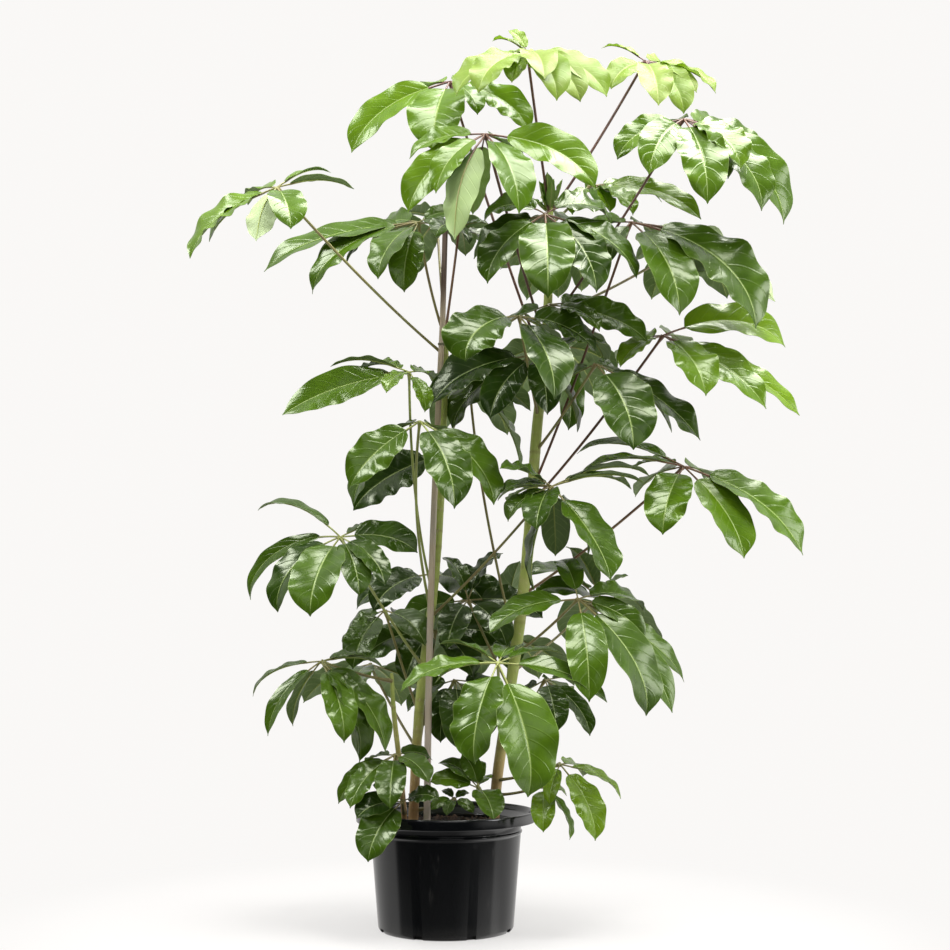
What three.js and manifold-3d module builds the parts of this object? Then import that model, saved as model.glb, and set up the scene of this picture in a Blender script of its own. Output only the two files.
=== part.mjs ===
// A potted umbrella plant: two cane stems, a side stem and a stake in a black nursery pot, with
// palmate fronds on long leaf stalks. Millimetres, +Z up. The origin is the middle of the pot's
// underside, +X is to the right and -Y towards the viewer.
import * as THREE from 'three';
import { ConvexGeometry } from 'three/addons/geometries/ConvexGeometry.js';
import { mergeVertices } from 'three/addons/utils/BufferGeometryUtils.js';
import Module from 'manifold-3d';

const wasm = await Module();
wasm.setup();

// ---- driving dimensions -------------------------------------------------------------------
const GAP = 0.3; // between pieces that touch
const POT = {
  height: 198.5,
  rimRadius: 150,
  skirtBottom: 181,
  neckRadius: 126,
  ridgeHeight: 163.5,
  baseRadius: 113,
  wall: 3,
  segments: 32,
  slots: 8,
  slotWidth: 16,
  slotHeight: 7.3,
  slotDepth: 16,
};
const SOIL = { level: 172, crown: 5 };
const STAKE = { foot: [-32, -15, 70], top: [-1, -3, 1179], footWidth: 10.5, topWidth: 8, turn: 32 };

// Middle lines of the stems, foot to top, each point with the stem's radius there.
const STEMS = {
  left: [
    [-58, 12, 70, 8], [-55, 12, 188, 8.5], [-44, 14, 382, 8], [-22, 16, 560, 7.5],
    [-11, 17, 701, 7], [-5, 16, 850, 6.5], [-2, 14, 960, 6], [-1, 14, 1008, 5],
  ],
  right: [
    [78, 18, 70, 9], [84, 20, 230, 9], [108, 22, 398, 9.5], [131, 24, 567, 10],
    [142, 24, 685, 9.5], [153, 24, 837, 9], [167, 22, 972, 8], [174, 20, 1110, 7],
    [176, 18, 1212, 5.5],
  ],
  sucker: [
    [-64, -22, 90, 4.5], [-69, -21, 192, 4.8], [-77, -20, 280, 4.5], [-86, -20, 360, 4],
    [-90, -20, 428, 3.2],
  ],
};
const STEM_SIDES = 8;
// Bands that tie the left stem to the stake, and the heights of their middles.
const TIE = { width: 3, thickness: 1.2, heights: { tie_top: 977, tie_low: 223 } };

const LEAF = {
  stalk: 0.17, // share of a leaflet's length that is its own little stalk
  widthToLength: 0.47,
  thickness: 2,
  stalkWidth: 3.2,
  keel: 0.24, // how far the two halves fold up, against the half width
  wave: 0.05, // waviness of the edge, against the blade's width
  face: 40, // degrees that a leaflet on either side turns its upper side to the front
  apart: 14.5, // least angle between two leaflets of a frond
  bend: 52, // degrees that a leaflet turns down from hub to tip
  lead: 0.4, // share of that turn which lies above the line from hub to tip
  steepest: -98, // the lowest heading that a tip may take, degrees
  handle: 0.36, // how far each end holds its heading, as a share of the length
  sway: 8, // degrees that the face varies from leaflet to leaflet
  stations: [0, 0.2, 0.5, 0.82],
};
const STALK = {
  radius: 2.3, flare: 4.6, sides: 4, stations: [0, 0.05, 0.3, 0.65, 1],
  hub: 9.4, // where the leaflets start, from the hub's middle
  hubRise: 3.4,
  leafletRoot: 2,
  flareLength: 14,
  sag: 0.05, // how far the stalk's middle hangs, as a share of its length
};

// ---- fronds -------------------------------------------------------------------------------
// stem and at: the stem that the leaf stalk grows from, and the height there.
// hub: where the leaflets meet. tips: each leaflet's tip, measured from the hub, and after it,
// where they differ from the frond's own, its face (see LEAF.face) and its width to length.
// Optional: bend, the point that the leaf stalk bends towards; face; width; young, 1 for a frond
// that is still light green and 2 for a lime green one.
const FRONDS = [
  { name: 'crown_centre', stem: 'right', at: 1196, hub: [135, -30, 1455], young: 2,
    tips: [[-120, -30, -80, 35], [-75, -75, -105], [45, -100, -112], [85, -50, -98],
      [135, -10, -80, 40], [55, 95, 0], [-60, 85, 5], [-26, 10, 36]] },
  { name: 'crown_right', stem: 'right', at: 1204, hub: [338, 40, 1468], young: 2,
    tips: [[-60, -50, -45], [12, -90, -108], [58, -60, -110], [112, -15, -72, 20],
      [-75, 30, 12], [60, 90, 5]] },
  { name: 'right_high', stem: 'right', at: 1010, hub: [390, -60, 1335],
    tips: [[-112, -20, -70, 60], [-66, -80, -115], [44, -100, -162, 40, 0.52],
      [128, -60, -162], [166, 20, -172, 50], [110, 120, -20], [-20, 130, 0]] },
  { name: 'left_top', stem: 'right', at: 950, hub: [5, 60, 1440], young: 1,
    tips: [[-165, -10, -118, 28], [-58, -95, -130, 10, 0.62], [45, -60, -62], [130, -20, -82, 35],
      [-70, 110, 0], [60, 110, 0]] },
  { name: 'centre_top', stem: 'right', at: 985, hub: [65, -100, 1297], young: 1,
    tips: [[-134, -15, -126, 12, 0.36], [-72, -60, -84, 20, 0.42], [-48, -50, -165, 50, 0.32],
      [66, -80, -145], [178, -20, -90, 30], [-130, 35, -45, 30, 0.34], [60, 110, -20],
      [-20, 70, -110]] },
  { name: 'centre_high', stem: 'right', at: 1120, hub: [161, -110, 1165],
    tips: [[-95, -35, -118, 45], [0, -95, -155, 0, 0.58], [82, -75, -128], [138, -10, -118, 25],
      [-115, 45, -60], [90, 80, -30], [-10, 110, -20]] },
  { name: 'right_young', stem: 'right', at: 1184, hub: [246, 60, 1262], young: 1,
    tips: [[186, -30, -82, 22], [80, -80, -70, 10], [30, 120, 0], [-70, 60, -10]] },
  { name: 'right_upper', stem: 'right', at: 738, hub: [306, -40, 1172],
    tips: [[68, -100, -171, 40, 0.5], [194, -48, -165, 45, 0.42], [246, 15, -124, 34, 0.36],
      [-50, -60, -95, 20], [80, 150, -20], [-90, 90, -15]] },
  { name: 'right_middle', stem: 'right', at: 716, hub: [360, -30, 987],
    tips: [[59, -95, -117, 40, 0.5], [160, -75, -124, 45, 0.38], [235, 5, -132, 20, 0.3],
      [220, 75, -5, 14, 0.34], [60, 140, -10], [-70, 110, -20], [-75, -40, -60, 25]] },
  { name: 'centre_broad', stem: 'right', at: 860, hub: [119, -110, 1002], width: 0.52,
    tips: [[70, -95, -158], [-106, -25, -70], [-60, 110, -50], [80, 100, -50], [130, 50, -50]] },
  { name: 'centre_dark', stem: 'right', at: 992, hub: [172, -40, 1036],
    tips: [[165, -20, -70, 40], [150, 60, -88], [70, 110, -40], [-60, 100, -40]] },
  { name: 'right_low_broad', stem: 'right', at: 800, hub: [246, -60, 934],
    tips: [[54, -80, -150, 24, 0.66], [172, -5, -126, 25, 0.38], [-70, 70, -50], [70, 110, -30]] },
  { name: 'right_low', stem: 'right', at: 560, hub: [393, -40, 769],
    tips: [[106, -55, -160, 45], [198, -10, -146, 18, 0.34], [-46, -85, -118, 40, 0.6],
      [-80, 60, 4, 10], [70, 120, -30], [-80, 100, -40]] },
  { name: 'middle_right', stem: 'left', at: 522, hub: [173, -92, 731],
    tips: [[166, 40, 24, 6, 0.3], [138, 85, 6, 6, 0.3], [150, -15, 2, 4, 0.3],
      [110, -65, -152, 45], [-35, -90, -78, 0, 0.56], [8, 50, -110], [-90, 30, -18, 20],
      [-70, 90, -20]] },
  { name: 'low_right', stem: 'right', at: 460, hub: [213, -120, 548], face: 34,
    tips: [[-142, -20, -54, 25], [46, -90, -132, 20, 0.54], [108, -50, -184], [150, 5, -188],
      [172, 45, -128], [75, 80, 5], [110, 95, -20]] },
  { name: 'front_low', stem: 'right', at: 310, hub: [84, -190, 447], face: 18,
    tips: [[-39, -85, -150, 0, 0.56], [48, -55, -204, 25, 0.54], [-152, -20, -44, 20, 0.34],
      [-92, 45, 30, 5, 0.3], [-100, 15, -30, 5, 0.3], [168, 0, -60, 22, 0.34],
      [108, 50, 12, 5, 0.3], [30, 100, 20]] },
  { name: 'left_low', stem: 'sucker', at: 415, hub: [-203, -60, 448], face: 35,
    tips: [[-116, 20, -54], [-88, -50, -118], [-52, 35, -108, 10, 0.32], [41, -80, -130],
      [101, 40, -11, 10, 0.36], [82, -30, -125], [95, 15, -150]] },
  { name: 'left_middle', stem: 'left', at: 437, hub: [-170, -80, 650],
    tips: [[-133, 50, 42, 5, 0.3], [-144, 10, -104, 4, 0.34], [-104, -40, -120, 36, 0.38],
      [-44, -85, -130, 20, 0.62], [76, -60, -76, 36], [122, 0, -24, 34], [89, 70, 18, 8, 0.34]] },
  { name: 'left_broad', stem: 'left', at: 530, hub: [-40, -100, 835], bend: [-62, -30, 690],
    tips: [[-115, -30, -86, 50, 0.6], [-112, 45, -128, 60], [62, -85, -150, 36, 0.56],
      [122, -25, -136, 40], [-50, 90, -30], [60, 100, -30]] },
  { name: 'left_upper', stem: 'left', at: 560, hub: [-59, -60, 921], bend: [-60, 0, 700],
    tips: [[-207, -5, -72, 40], [-190, 70, -30, 5, 0.3], [-54, -90, -56, 10], [-90, 50, 14, 20],
      [60, 80, -4], [36, -60, -44]] },
  { name: 'left_far', stem: 'left', at: 962, hub: [-261, -170, 1190],
    tips: [[-134, -10, -114, 30, 0.38], [-100, 40, -92, 8], [-36, -70, -80, 0, 0.62],
      [32, -66, -70, 0, 0.62], [119, 20, 3, 6, 0.3], [-60, 90, 0]] },
  { name: 'left_dark', stem: 'left', at: 640, hub: [-5, 55, 802],
    tips: [[-142, -15, -82, 60, 0.56], [-70, 80, -40], [75, 80, -60]] },
  { name: 'left_high', stem: 'left', at: 990, hub: [-46, -10, 1180], bend: [-30, 6, 1070],
    tips: [[-254, 50, -82, 36, 0.36], [-186, -15, -134, 40, 0.38], [-64, -75, -112, 26],
      [-26, -45, -128, 30], [70, 20, 18], [60, 80, -10], [-90, 100, 0]] },
  { name: 'centre_shade', stem: 'right', at: 905, hub: [150, -30, 955],
    tips: [[-66, -40, -122], [-152, -10, -118], [-175, 40, -60], [15, -70, -110]] },
  { name: 'centre_small', stem: 'right', at: 470, hub: [37, 30, 952], bend: [48, -14, 740],
    tips: [[50, -25, 8], [-45, 30, -12], [40, -30, 45], [-20, -60, -45], [50, 60, -30]] },
  { name: 'stake_top', stem: 'left', at: 1004, hub: [22, 25, 1182],
    tips: [[40, -60, -74], [-70, -60, -50], [80, 30, -40], [-60, 70, -20], [10, 110, -20]] },
  { name: 'left_shade', stem: 'left', at: 360, hub: [-106, 60, 534],
    tips: [[-100, -30, -50], [80, -70, -60], [-45, -90, -90], [-80, 70, -60], [60, 90, -50]] },
  { name: 'middle_shade', stem: 'right', at: 400, hub: [37, 42, 551],
    tips: [[-50, -100, -60], [65, -70, -80], [130, 10, -30], [-120, 0, -50], [-60, 110, -60],
      [60, 100, -50]] },
  { name: 'front_shade', stem: 'left', at: 330, hub: [15, 40, 415],
    tips: [[-34, -60, -92], [60, -50, -92], [92, 40, -40], [-85, 40, -55], [20, 90, -60]] },
  { name: 'shade_behind', stem: 'left', at: 260, hub: [-20, 115, 500], width: 0.55,
    tips: [[-135, -20, -40], [-50, -75, -90], [60, -70, -90], [135, 0, -30], [-30, 105, -40],
      [60, 90, -40]] },
  { name: 'shade_left_back', stem: 'left', at: 470, hub: [-31, 150, 600],
    tips: [[-135, 20, -60], [135, 20, -60], [-90, -90, -80], [80, -100, -90], [70, 120, -50]] },
  { name: 'low_shade', stem: 'right', at: 300, hub: [168, 45, 415],
    tips: [[88, -40, -95], [110, 30, -25], [-70, 60, -60], [40, 110, -45], [15, -90, -85]] },
  { name: 'foot_left', stem: 'sucker', at: 240, hub: [-82, -72, 296], face: 35,
    tips: [[-98, 0, -74], [-70, -65, -80], [-3, -95, -77], [55, -70, -48], [60, 50, -12],
      [-70, 70, -30]] },
  { name: 'rim_left', stem: 'sucker', at: 196, hub: [-68, -104, 224],
    tips: [[-54, -66, -96, 40, 0.66], [60, -46, 8], [-50, 20, 25]] },
  { name: 'foot_right', stem: 'right', at: 246, hub: [186, -88, 282], face: 30,
    tips: [[57, -55, -122, 40, 0.52], [102, 0, -54, 15, 0.34], [-20, -50, -60, 10, 0.4],
      [45, 80, -25]] },
  { name: 'foot_right_small', stem: 'right', at: 222, hub: [160, -78, 246], width: 0.5,
    tips: [[-4, -70, -66], [44, -20, -85, 10, 0.32], [40, 40, -20]] },
  { name: 'foot_centre', stem: 'right', at: 206, hub: [54, -30, 238], width: 0.6,
    tips: [[22, -85, -40], [-28, 20, 55], [-80, 5, 10], [40, 60, 10]] },
  { name: 'foot_sprout', stem: 'left', at: 196, hub: [14, -34, 220], bend: [0, 25, 204],
    tips: [[-38, -15, -16], [32, -25, -20], [-12, -42, -22], [25, 25, 8], [-20, 28, 12]] },
  { name: 'back_top_left', stem: 'left', at: 992, hub: [-20, 190, 1240], face: -30,
    tips: [[-120, 30, -60], [120, 20, -60], [-70, -100, -30], [70, 110, -80], [-60, 120, -80]] },
  { name: 'back_top_right', stem: 'right', at: 1090, hub: [215, 200, 1205], face: -30,
    tips: [[-120, 10, -50], [120, 10, -60], [70, -110, -30], [80, 120, -80], [-70, 120, -80]] },
  { name: 'back_right', stem: 'right', at: 1030, hub: [425, 150, 1185], face: -30,
    tips: [[-100, -40, -40], [120, 20, -60], [90, 110, -70], [-50, 120, -70], [50, -100, -60]] },
  { name: 'back_centre', stem: 'right', at: 830, hub: [200, 220, 1020], face: -30,
    tips: [[-120, 10, -50], [110, 10, -50], [80, 120, -80], [-70, 120, -80], [10, -120, -30]] },
  { name: 'back_left', stem: 'left', at: 800, hub: [40, 200, 950], face: -30,
    tips: [[-90, 0, -40], [110, 20, -50], [70, 120, -80], [-60, 120, -80], [-40, -100, -50]] },
  { name: 'back_low_right', stem: 'right', at: 430, hub: [270, 170, 560], face: -30,
    tips: [[-130, -10, -70], [110, -20, -90], [90, 110, -80], [-50, 130, -80], [30, -120, -70]] },
  { name: 'back_low_centre', stem: 'right', at: 370, hub: [110, 210, 490], face: -30,
    tips: [[-130, 10, -80], [120, 20, -90], [60, 120, -80], [-70, 120, -80], [0, -120, -60]] },
  { name: 'back_low_left', stem: 'left', at: 300, hub: [-139, 170, 440], face: -30,
    tips: [[-120, 10, -70], [120, 10, -80], [50, 120, -80], [-60, 110, -80], [-30, -120, -60]] },
];

const COLOURS = {
  pot: 0x17181a, soil: 0x2a2019, stem: 0x8a9a45, stake: 0x9c8a72,
  tie: 0x4a4a35, leaf: [0x2f6b22, 0x4f9428, 0x8fc233],
};
const rad = THREE.MathUtils.degToRad;
const vec = (p) => new THREE.Vector3(...p);

// ---- solids -------------------------------------------------------------------------------
// A solid from points and faces; every face is wound anticlockwise seen from outside.
function solid(points, faces) {
  return new wasm.Manifold(new wasm.Mesh({
    numProp: 3,
    vertProperties: Float32Array.from(points.flatMap((p) => [p.x, p.y, p.z])),
    triVerts: Uint32Array.from(faces.flat()),
  }));
}

// Any closed three.js geometry as a solid.
function solidOf(geometry) {
  const bare = geometry.clone();
  bare.deleteAttribute('normal');
  bare.deleteAttribute('uv');
  const merged = mergeVertices(bare, 1e-4);
  return new wasm.Manifold(new wasm.Mesh({
    numProp: 3,
    vertProperties: Float32Array.from(merged.attributes.position.array),
    triVerts: Uint32Array.from(merged.index.array),
  }));
}

// Rings of points joined into one closed skin, with a point or a flat cap at either end.
function loft(rings, start, end) {
  const points = [];
  const faces = [];
  const n = rings[0].length;
  for (const ring of rings) points.push(...ring);
  for (let r = 0; r + 1 < rings.length; r++) {
    for (let i = 0; i < n; i++) {
      const j = (i + 1) % n;
      const [a, b, c, d] = [r * n + i, r * n + j, (r + 1) * n + j, (r + 1) * n + i];
      faces.push([a, b, c], [a, c, d]);
    }
  }
  const last = (rings.length - 1) * n;
  if (start) points.push(start);
  if (end) points.push(end);
  const startIndex = rings.length * n;
  const endIndex = startIndex + (start ? 1 : 0);
  for (let i = 0; i < n; i++) {
    const j = (i + 1) % n;
    if (start) faces.push([startIndex, j, i]);
    else if (i > 0 && i < n - 1) faces.push([0, i + 1, i]);
    if (end) faces.push([last + i, last + j, endIndex]);
    else if (i > 0 && i < n - 1) faces.push([last, last + i, last + i + 1]);
  }
  return solid(points, faces);
}

// A tapered tube along points, one radius for each.
function tube(points, radii, sides) {
  const curve = points.map((p) => p.clone());
  let side = new THREE.Vector3(0, -1, 0);
  const rings = curve.map((p, i) => {
    const before = curve[Math.max(i - 1, 0)];
    const after = curve[Math.min(i + 1, curve.length - 1)];
    const along = after.clone().sub(before).normalize();
    side = side.clone().addScaledVector(along, -side.dot(along)).normalize();
    const up = along.clone().cross(side);
    return Array.from({ length: sides }, (_, k) => {
      const turn = (2 * Math.PI * k) / sides;
      return p.clone().addScaledVector(side, radii[i] * Math.cos(turn))
        .addScaledVector(up, radii[i] * Math.sin(turn));
    });
  });
  return loft(rings);
}

// ---- pot, soil, stems, stake ---------------------------------------------------------------
function lathe(profile) {
  const turned = new THREE.LatheGeometry(profile.map(([r, z]) => new THREE.Vector2(r, z)),
    POT.segments);
  turned.rotateX(Math.PI / 2);
  return solidOf(turned);
}

function makePot() {
  const { height, rimRadius, skirtBottom, neckRadius, ridgeHeight, baseRadius, wall } = POT;
  const collar = rimRadius - 6.5;
  let pot = lathe([
    [0, 0], [baseRadius - 5, 0], [baseRadius, 3], [neckRadius - 0.5, ridgeHeight - 3],
    [neckRadius + 1.5, ridgeHeight], [neckRadius + 1.5, ridgeHeight + 2],
    [neckRadius - 0.5, ridgeHeight + 4], [neckRadius + 1, skirtBottom - 3],
    [collar + 1, skirtBottom + 7], [rimRadius - wall, skirtBottom + 9],
    [rimRadius - wall, skirtBottom], [rimRadius, skirtBottom], [rimRadius, height - 2],
    [rimRadius - 2, height], [collar + 2, height], [collar, height - 2.5],
    [collar - 2.5, skirtBottom + 8], [neckRadius - wall, skirtBottom - 2],
    [neckRadius - wall - 0.5, ridgeHeight - 3], [baseRadius - wall, 6],
    [baseRadius - wall - 3, 4], [0, 4],
  ]);
  for (let i = 0; i < POT.slots; i++) {
    pot = pot.subtract(solidOf(new THREE.BoxGeometry(POT.slotDepth, POT.slotWidth, POT.slotHeight)
      .translate(baseRadius, 0, POT.slotHeight / 2 - GAP)
      .rotateZ((2 * Math.PI * (i + 0.5)) / POT.slots)));
  }
  return pot;
}

function makeSoil() {
  const { neckRadius, ridgeHeight, baseRadius, wall } = POT;
  const fit = wall + GAP;
  return lathe([
    [0, 4 + GAP], [baseRadius - fit - 3, 4 + GAP], [baseRadius - fit, 6 + GAP],
    [neckRadius - fit - 0.5, ridgeHeight - 3], [neckRadius - fit, SOIL.level],
    [neckRadius - 30, SOIL.level + SOIL.crown], [50, SOIL.level + 1], [0, SOIL.level + SOIL.crown],
  ]);
}

function stemCurve(name) {
  return new THREE.CatmullRomCurve3(STEMS[name].map(([x, y, z]) => new THREE.Vector3(x, y, z)),
    false, 'catmullrom', 0.5);
}

// The stem as a tube, grown by a margin where something is cut to fit round it.
function makeStem(name, margin = 0) {
  const curve = stemCurve(name);
  const knots = STEMS[name].length - 1;
  const steps = knots * 2;
  const points = [];
  const radii = [];
  for (let i = 0; i <= steps; i++) {
    const share = i / steps;
    const low = Math.min(Math.floor(share * knots), knots - 1);
    const part = share * knots - low;
    points.push(curve.getPoint(share));
    radii.push(margin + THREE.MathUtils.lerp(STEMS[name][low][3], STEMS[name][low + 1][3], part));
  }
  if (margin) {
    points[0].z -= margin;
    points[steps].z += margin;
  }
  return tube(points, radii, STEM_SIDES);
}

// The point on a stem's middle line at a height.
function stemPoint(name, height) {
  const curve = stemCurve(name);
  let low = 0;
  let high = 1;
  for (let i = 0; i < 24; i++) {
    const middle = (low + high) / 2;
    if (curve.getPoint(middle).z < height) low = middle;
    else high = middle;
  }
  return curve.getPoint(low);
}

function makeStake(margin = 0) {
  const ring = (centre, width) => [0, 1, 2, 3].map((k) => {
    const turn = rad(STAKE.turn + 90 * k);
    const reach = (width / 2 + margin) * Math.SQRT2;
    return centre.clone().add(new THREE.Vector3(Math.cos(turn), Math.sin(turn), 0)
      .multiplyScalar(reach));
  });
  const foot = vec(STAKE.foot);
  const top = vec(STAKE.top);
  foot.z -= margin;
  top.z += margin;
  return loft([ring(foot, STAKE.footWidth), ring(top, STAKE.topWidth)]);
}

// A band drawn tight round the left stem and the stake.
function makeTie(height) {
  const around = (margin, width) => {
    const slab = solidOf(new THREE.BoxGeometry(POT.rimRadius, POT.rimRadius, width)
      .translate(0, 0, height));
    const corners = [makeStem('left', margin), makeStake(margin)].flatMap((shape) => {
      const { vertProperties } = shape.intersect(slab).getMesh();
      return Array.from({ length: vertProperties.length / 3 },
        (_, i) => new THREE.Vector3().fromArray(vertProperties, 3 * i));
    });
    return solidOf(new ConvexGeometry(corners));
  };
  return around(GAP + TIE.thickness, TIE.width).subtract(around(GAP, TIE.width * 2));
}

// ---- fronds -------------------------------------------------------------------------------
// Turns a leaflet's tip about its hub: round by azimuth and up by rise, both in degrees.
function swing(tip, azimuth, rise) {
  const length = tip.length();
  const turn = Math.atan2(tip.y, tip.x) + rad(azimuth);
  const lift = Math.asin(tip.z / length) + rad(rise);
  return new THREE.Vector3(Math.cos(lift) * Math.cos(turn), Math.cos(lift) * Math.sin(turn),
    Math.sin(lift)).multiplyScalar(length);
}

// The middle line of a leaflet: it leaves the hub outwards and bends down to its tip.
function leafletCurve(hub, tip) {
  const length = tip.length();
  const outward = new THREE.Vector3(tip.x, tip.y, 0).normalize();
  const rise = THREE.MathUtils.radToDeg(Math.asin(tip.z / length));
  const bend = Math.min(LEAF.bend, (rise - LEAF.steepest) / (1 - LEAF.lead));
  const heading = (degrees) => outward.clone().multiplyScalar(Math.cos(rad(degrees)))
    .add(new THREE.Vector3(0, 0, Math.sin(rad(degrees))));
  const end = hub.clone().add(tip);
  const reach = LEAF.handle * length;
  const leaving = hub.clone().addScaledVector(heading(rise + LEAF.lead * bend), reach);
  const arriving = end.clone().addScaledVector(heading(rise - (1 - LEAF.lead) * bend), -reach);
  return {
    length,
    across: new THREE.Vector3(-outward.y, outward.x, 0),
    curve: new THREE.CubicBezierCurve3(hub, leaving, arriving, end),
  };
}

// Half width of the blade at a share of its length.
function halfWidth(share, width) {
  return (width / 2) * Math.sin(Math.PI * share ** 0.9) ** 0.62 * (1 - 0.3 * share ** 6);
}

// One leaflet as rings of four points: left edge, top, right edge, underside. The first ring is
// at the hub, the two halves fold up a little, and the blade ends in a point.
function leafletRings(hub, tip, { ratio, roll, phase, start = 0, grow = 0 }) {
  const { curve, across, length } = leafletCurve(hub, tip);
  const width = ratio * length * (1 - LEAF.stalk);
  const section = (t, half, thick, lift) => {
    const along = curve.getTangent(t);
    const turn = rad(roll) * Math.min(1, t / LEAF.stalk);
    const side = across.clone().applyAxisAngle(along, turn);
    const up = along.clone().cross(side);
    const middle = curve.getPoint(t);
    const edge = (sign) => middle.clone().addScaledVector(side, sign * (half + grow))
      .addScaledVector(up, half * LEAF.keel + sign * lift);
    return [edge(1), middle.clone().addScaledVector(up, thick / 2 + grow), edge(-1),
      middle.clone().addScaledVector(up, -thick / 2 - grow)];
  };
  const root = Math.max(start * LEAF.stalk, STALK.hub / length);
  const rings = [section(root, STALK.leafletRoot / 2, STALK.leafletRoot, 0)];
  LEAF.stations.forEach((share, i) => {
    const t = LEAF.stalk + (1 - LEAF.stalk) * share;
    const half = Math.max(halfWidth(share, width), LEAF.stalkWidth / 2);
    const lift = i ? LEAF.wave * width * Math.sin(phase + 2.6 * i) : 0;
    rings.push(section(t, half, i ? LEAF.thickness : 2.6, lift));
  });
  return { rings, end: curve.getPoint(1) };
}

// All the leaflets of a frond as one skin: their roots stand side by side round a low hub. The two
// faces of a blade are split alike, so that they don't meet where it is thin and waved.
function makeLeaflets(hub, leaflets) {
  const points = [hub.clone().setZ(hub.z + STALK.hubRise), hub.clone().setZ(hub.z - STALK.hubRise)];
  const faces = [];
  const add = (p) => points.push(p) - 1;
  const rim = (from, to) => faces.push([0, from, to], [1, to, from]);
  const roots = leaflets.sort((a, b) => a.azimuth - b.azimuth).map(({ rings, end, azimuth }) => {
    const at = rings.map((ring) => ring.map(add));
    const tip = add(end);
    for (let k = 0; k < 4; k++) {
      const j = (k + 1) % 4;
      for (let r = 0; r + 1 < at.length; r++) {
        const [a, b, c, d] = [at[r][k], at[r][j], at[r + 1][j], at[r + 1][k]];
        if (k < 2) faces.push([a, b, c], [a, c, d]);
        else faces.push([a, b, d], [b, c, d]);
      }
      faces.push([at.at(-1)[k], at.at(-1)[j], tip]);
    }
    const [left, top, right, under] = at[0];
    faces.push([0, right, top], [0, top, left], [1, left, under], [1, under, right]);
    return { left, right, azimuth };
  });
  roots.forEach((root, i) => {
    const next = roots[(i + 1) % roots.length];
    const gap = next.azimuth - root.azimuth + (next.azimuth > root.azimuth ? 0 : 360);
    const fill = Math.floor(gap / 120);
    let from = root.left;
    for (let k = 1; k <= fill; k++) {
      const turn = rad(root.azimuth + (gap * k) / (fill + 1));
      const to = add(new THREE.Vector3(Math.cos(turn), Math.sin(turn), 0)
        .multiplyScalar(STALK.hub * 0.6).add(hub));
      rim(from, to);
      from = to;
    }
    rim(from, next.right);
  });
  return solid(points, faces);
}

function stalkCurve(frond) {
  const foot = stemPoint(frond.stem, frond.at);
  const hub = vec(frond.hub);
  const length = foot.distanceTo(hub);
  const middle = frond.bend ? vec(frond.bend)
    : foot.clone().lerp(hub, 0.42).add(new THREE.Vector3(0, 0, -STALK.sag * length));
  return { length, curve: new THREE.QuadraticBezierCurve3(foot, middle, hub) };
}

function makeStalk(frond, grow = 0) {
  const { curve, length } = stalkCurve(frond);
  const points = STALK.stations.map((t) => curve.getPoint(t));
  const radii = STALK.stations.map((t) => STALK.radius + grow
    + (STALK.flare - STALK.radius) * Math.exp((-t * length) / STALK.flareLength));
  return tube(points, radii, STALK.sides);
}

// Small turns that a leaflet may take to hang clear of its neighbours, the smallest first.
const TURNS = [];
for (const azimuth of [0, 6, -6, 12, -12, 18, -18, 26, -26, 36, -36]) {
  for (const rise of [0, 6, -6, 12, -12, 20, -20, -30]) TURNS.push([azimuth, rise]);
}
TURNS.sort((a, b) => Math.hypot(...a) - Math.hypot(...b));
const CLEAR = 1; // kept between leaflets of different fronds, mm

function boxesMeet(a, b) {
  return [0, 1, 2].every((k) => a.min[k] <= b.max[k] && b.min[k] <= a.max[k]);
}

const group = new THREE.Group();
function addNode(name, shape, colour, roughness) {
  const { vertProperties, triVerts } = shape.getMesh();
  const geometry = new THREE.BufferGeometry();
  geometry.setAttribute('position', new THREE.BufferAttribute(vertProperties, 3));
  geometry.setIndex(new THREE.BufferAttribute(triVerts, 1));
  geometry.computeVertexNormals();
  const mesh = new THREE.Mesh(geometry,
    new THREE.MeshStandardMaterial({ color: colour, roughness, metalness: 0 }));
  mesh.name = name;
  group.add(mesh);
}

const fixed = [];
const keepClear = (shape, owner) => fixed.push({ shape, owner, box: shape.boundingBox() });
const grownStems = {};
let soil = makeSoil();
for (const name of Object.keys(STEMS)) {
  const grown = makeStem(name, GAP);
  grownStems[name] = grown;
  soil = soil.subtract(grown);
  keepClear(makeStem(name), name);
}
soil = soil.subtract(makeStake(GAP));
keepClear(makeStake(), 'stake');
const pot = makePot();
keepClear(pot, 'pot');
keepClear(soil, 'soil');

addNode('pot', pot, COLOURS.pot, 0.35);
addNode('soil', soil, COLOURS.soil, 0.95);
addNode('trunk_left', makeStem('left'), COLOURS.stem, 0.6);
addNode('trunk_right', makeStem('right'), COLOURS.stem, 0.6);
addNode('sucker_stem', makeStem('sucker'), COLOURS.stem, 0.5);
addNode('stake', makeStake(), COLOURS.stake, 0.8);
for (const [name, height] of Object.entries(TIE.heights)) {
  const tie = makeTie(height);
  keepClear(tie, name);
  addNode(name, tie, COLOURS.tie, 0.6);
}

FRONDS.forEach((frond) => keepClear(makeStalk(frond, 0.5), frond.name));

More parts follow.
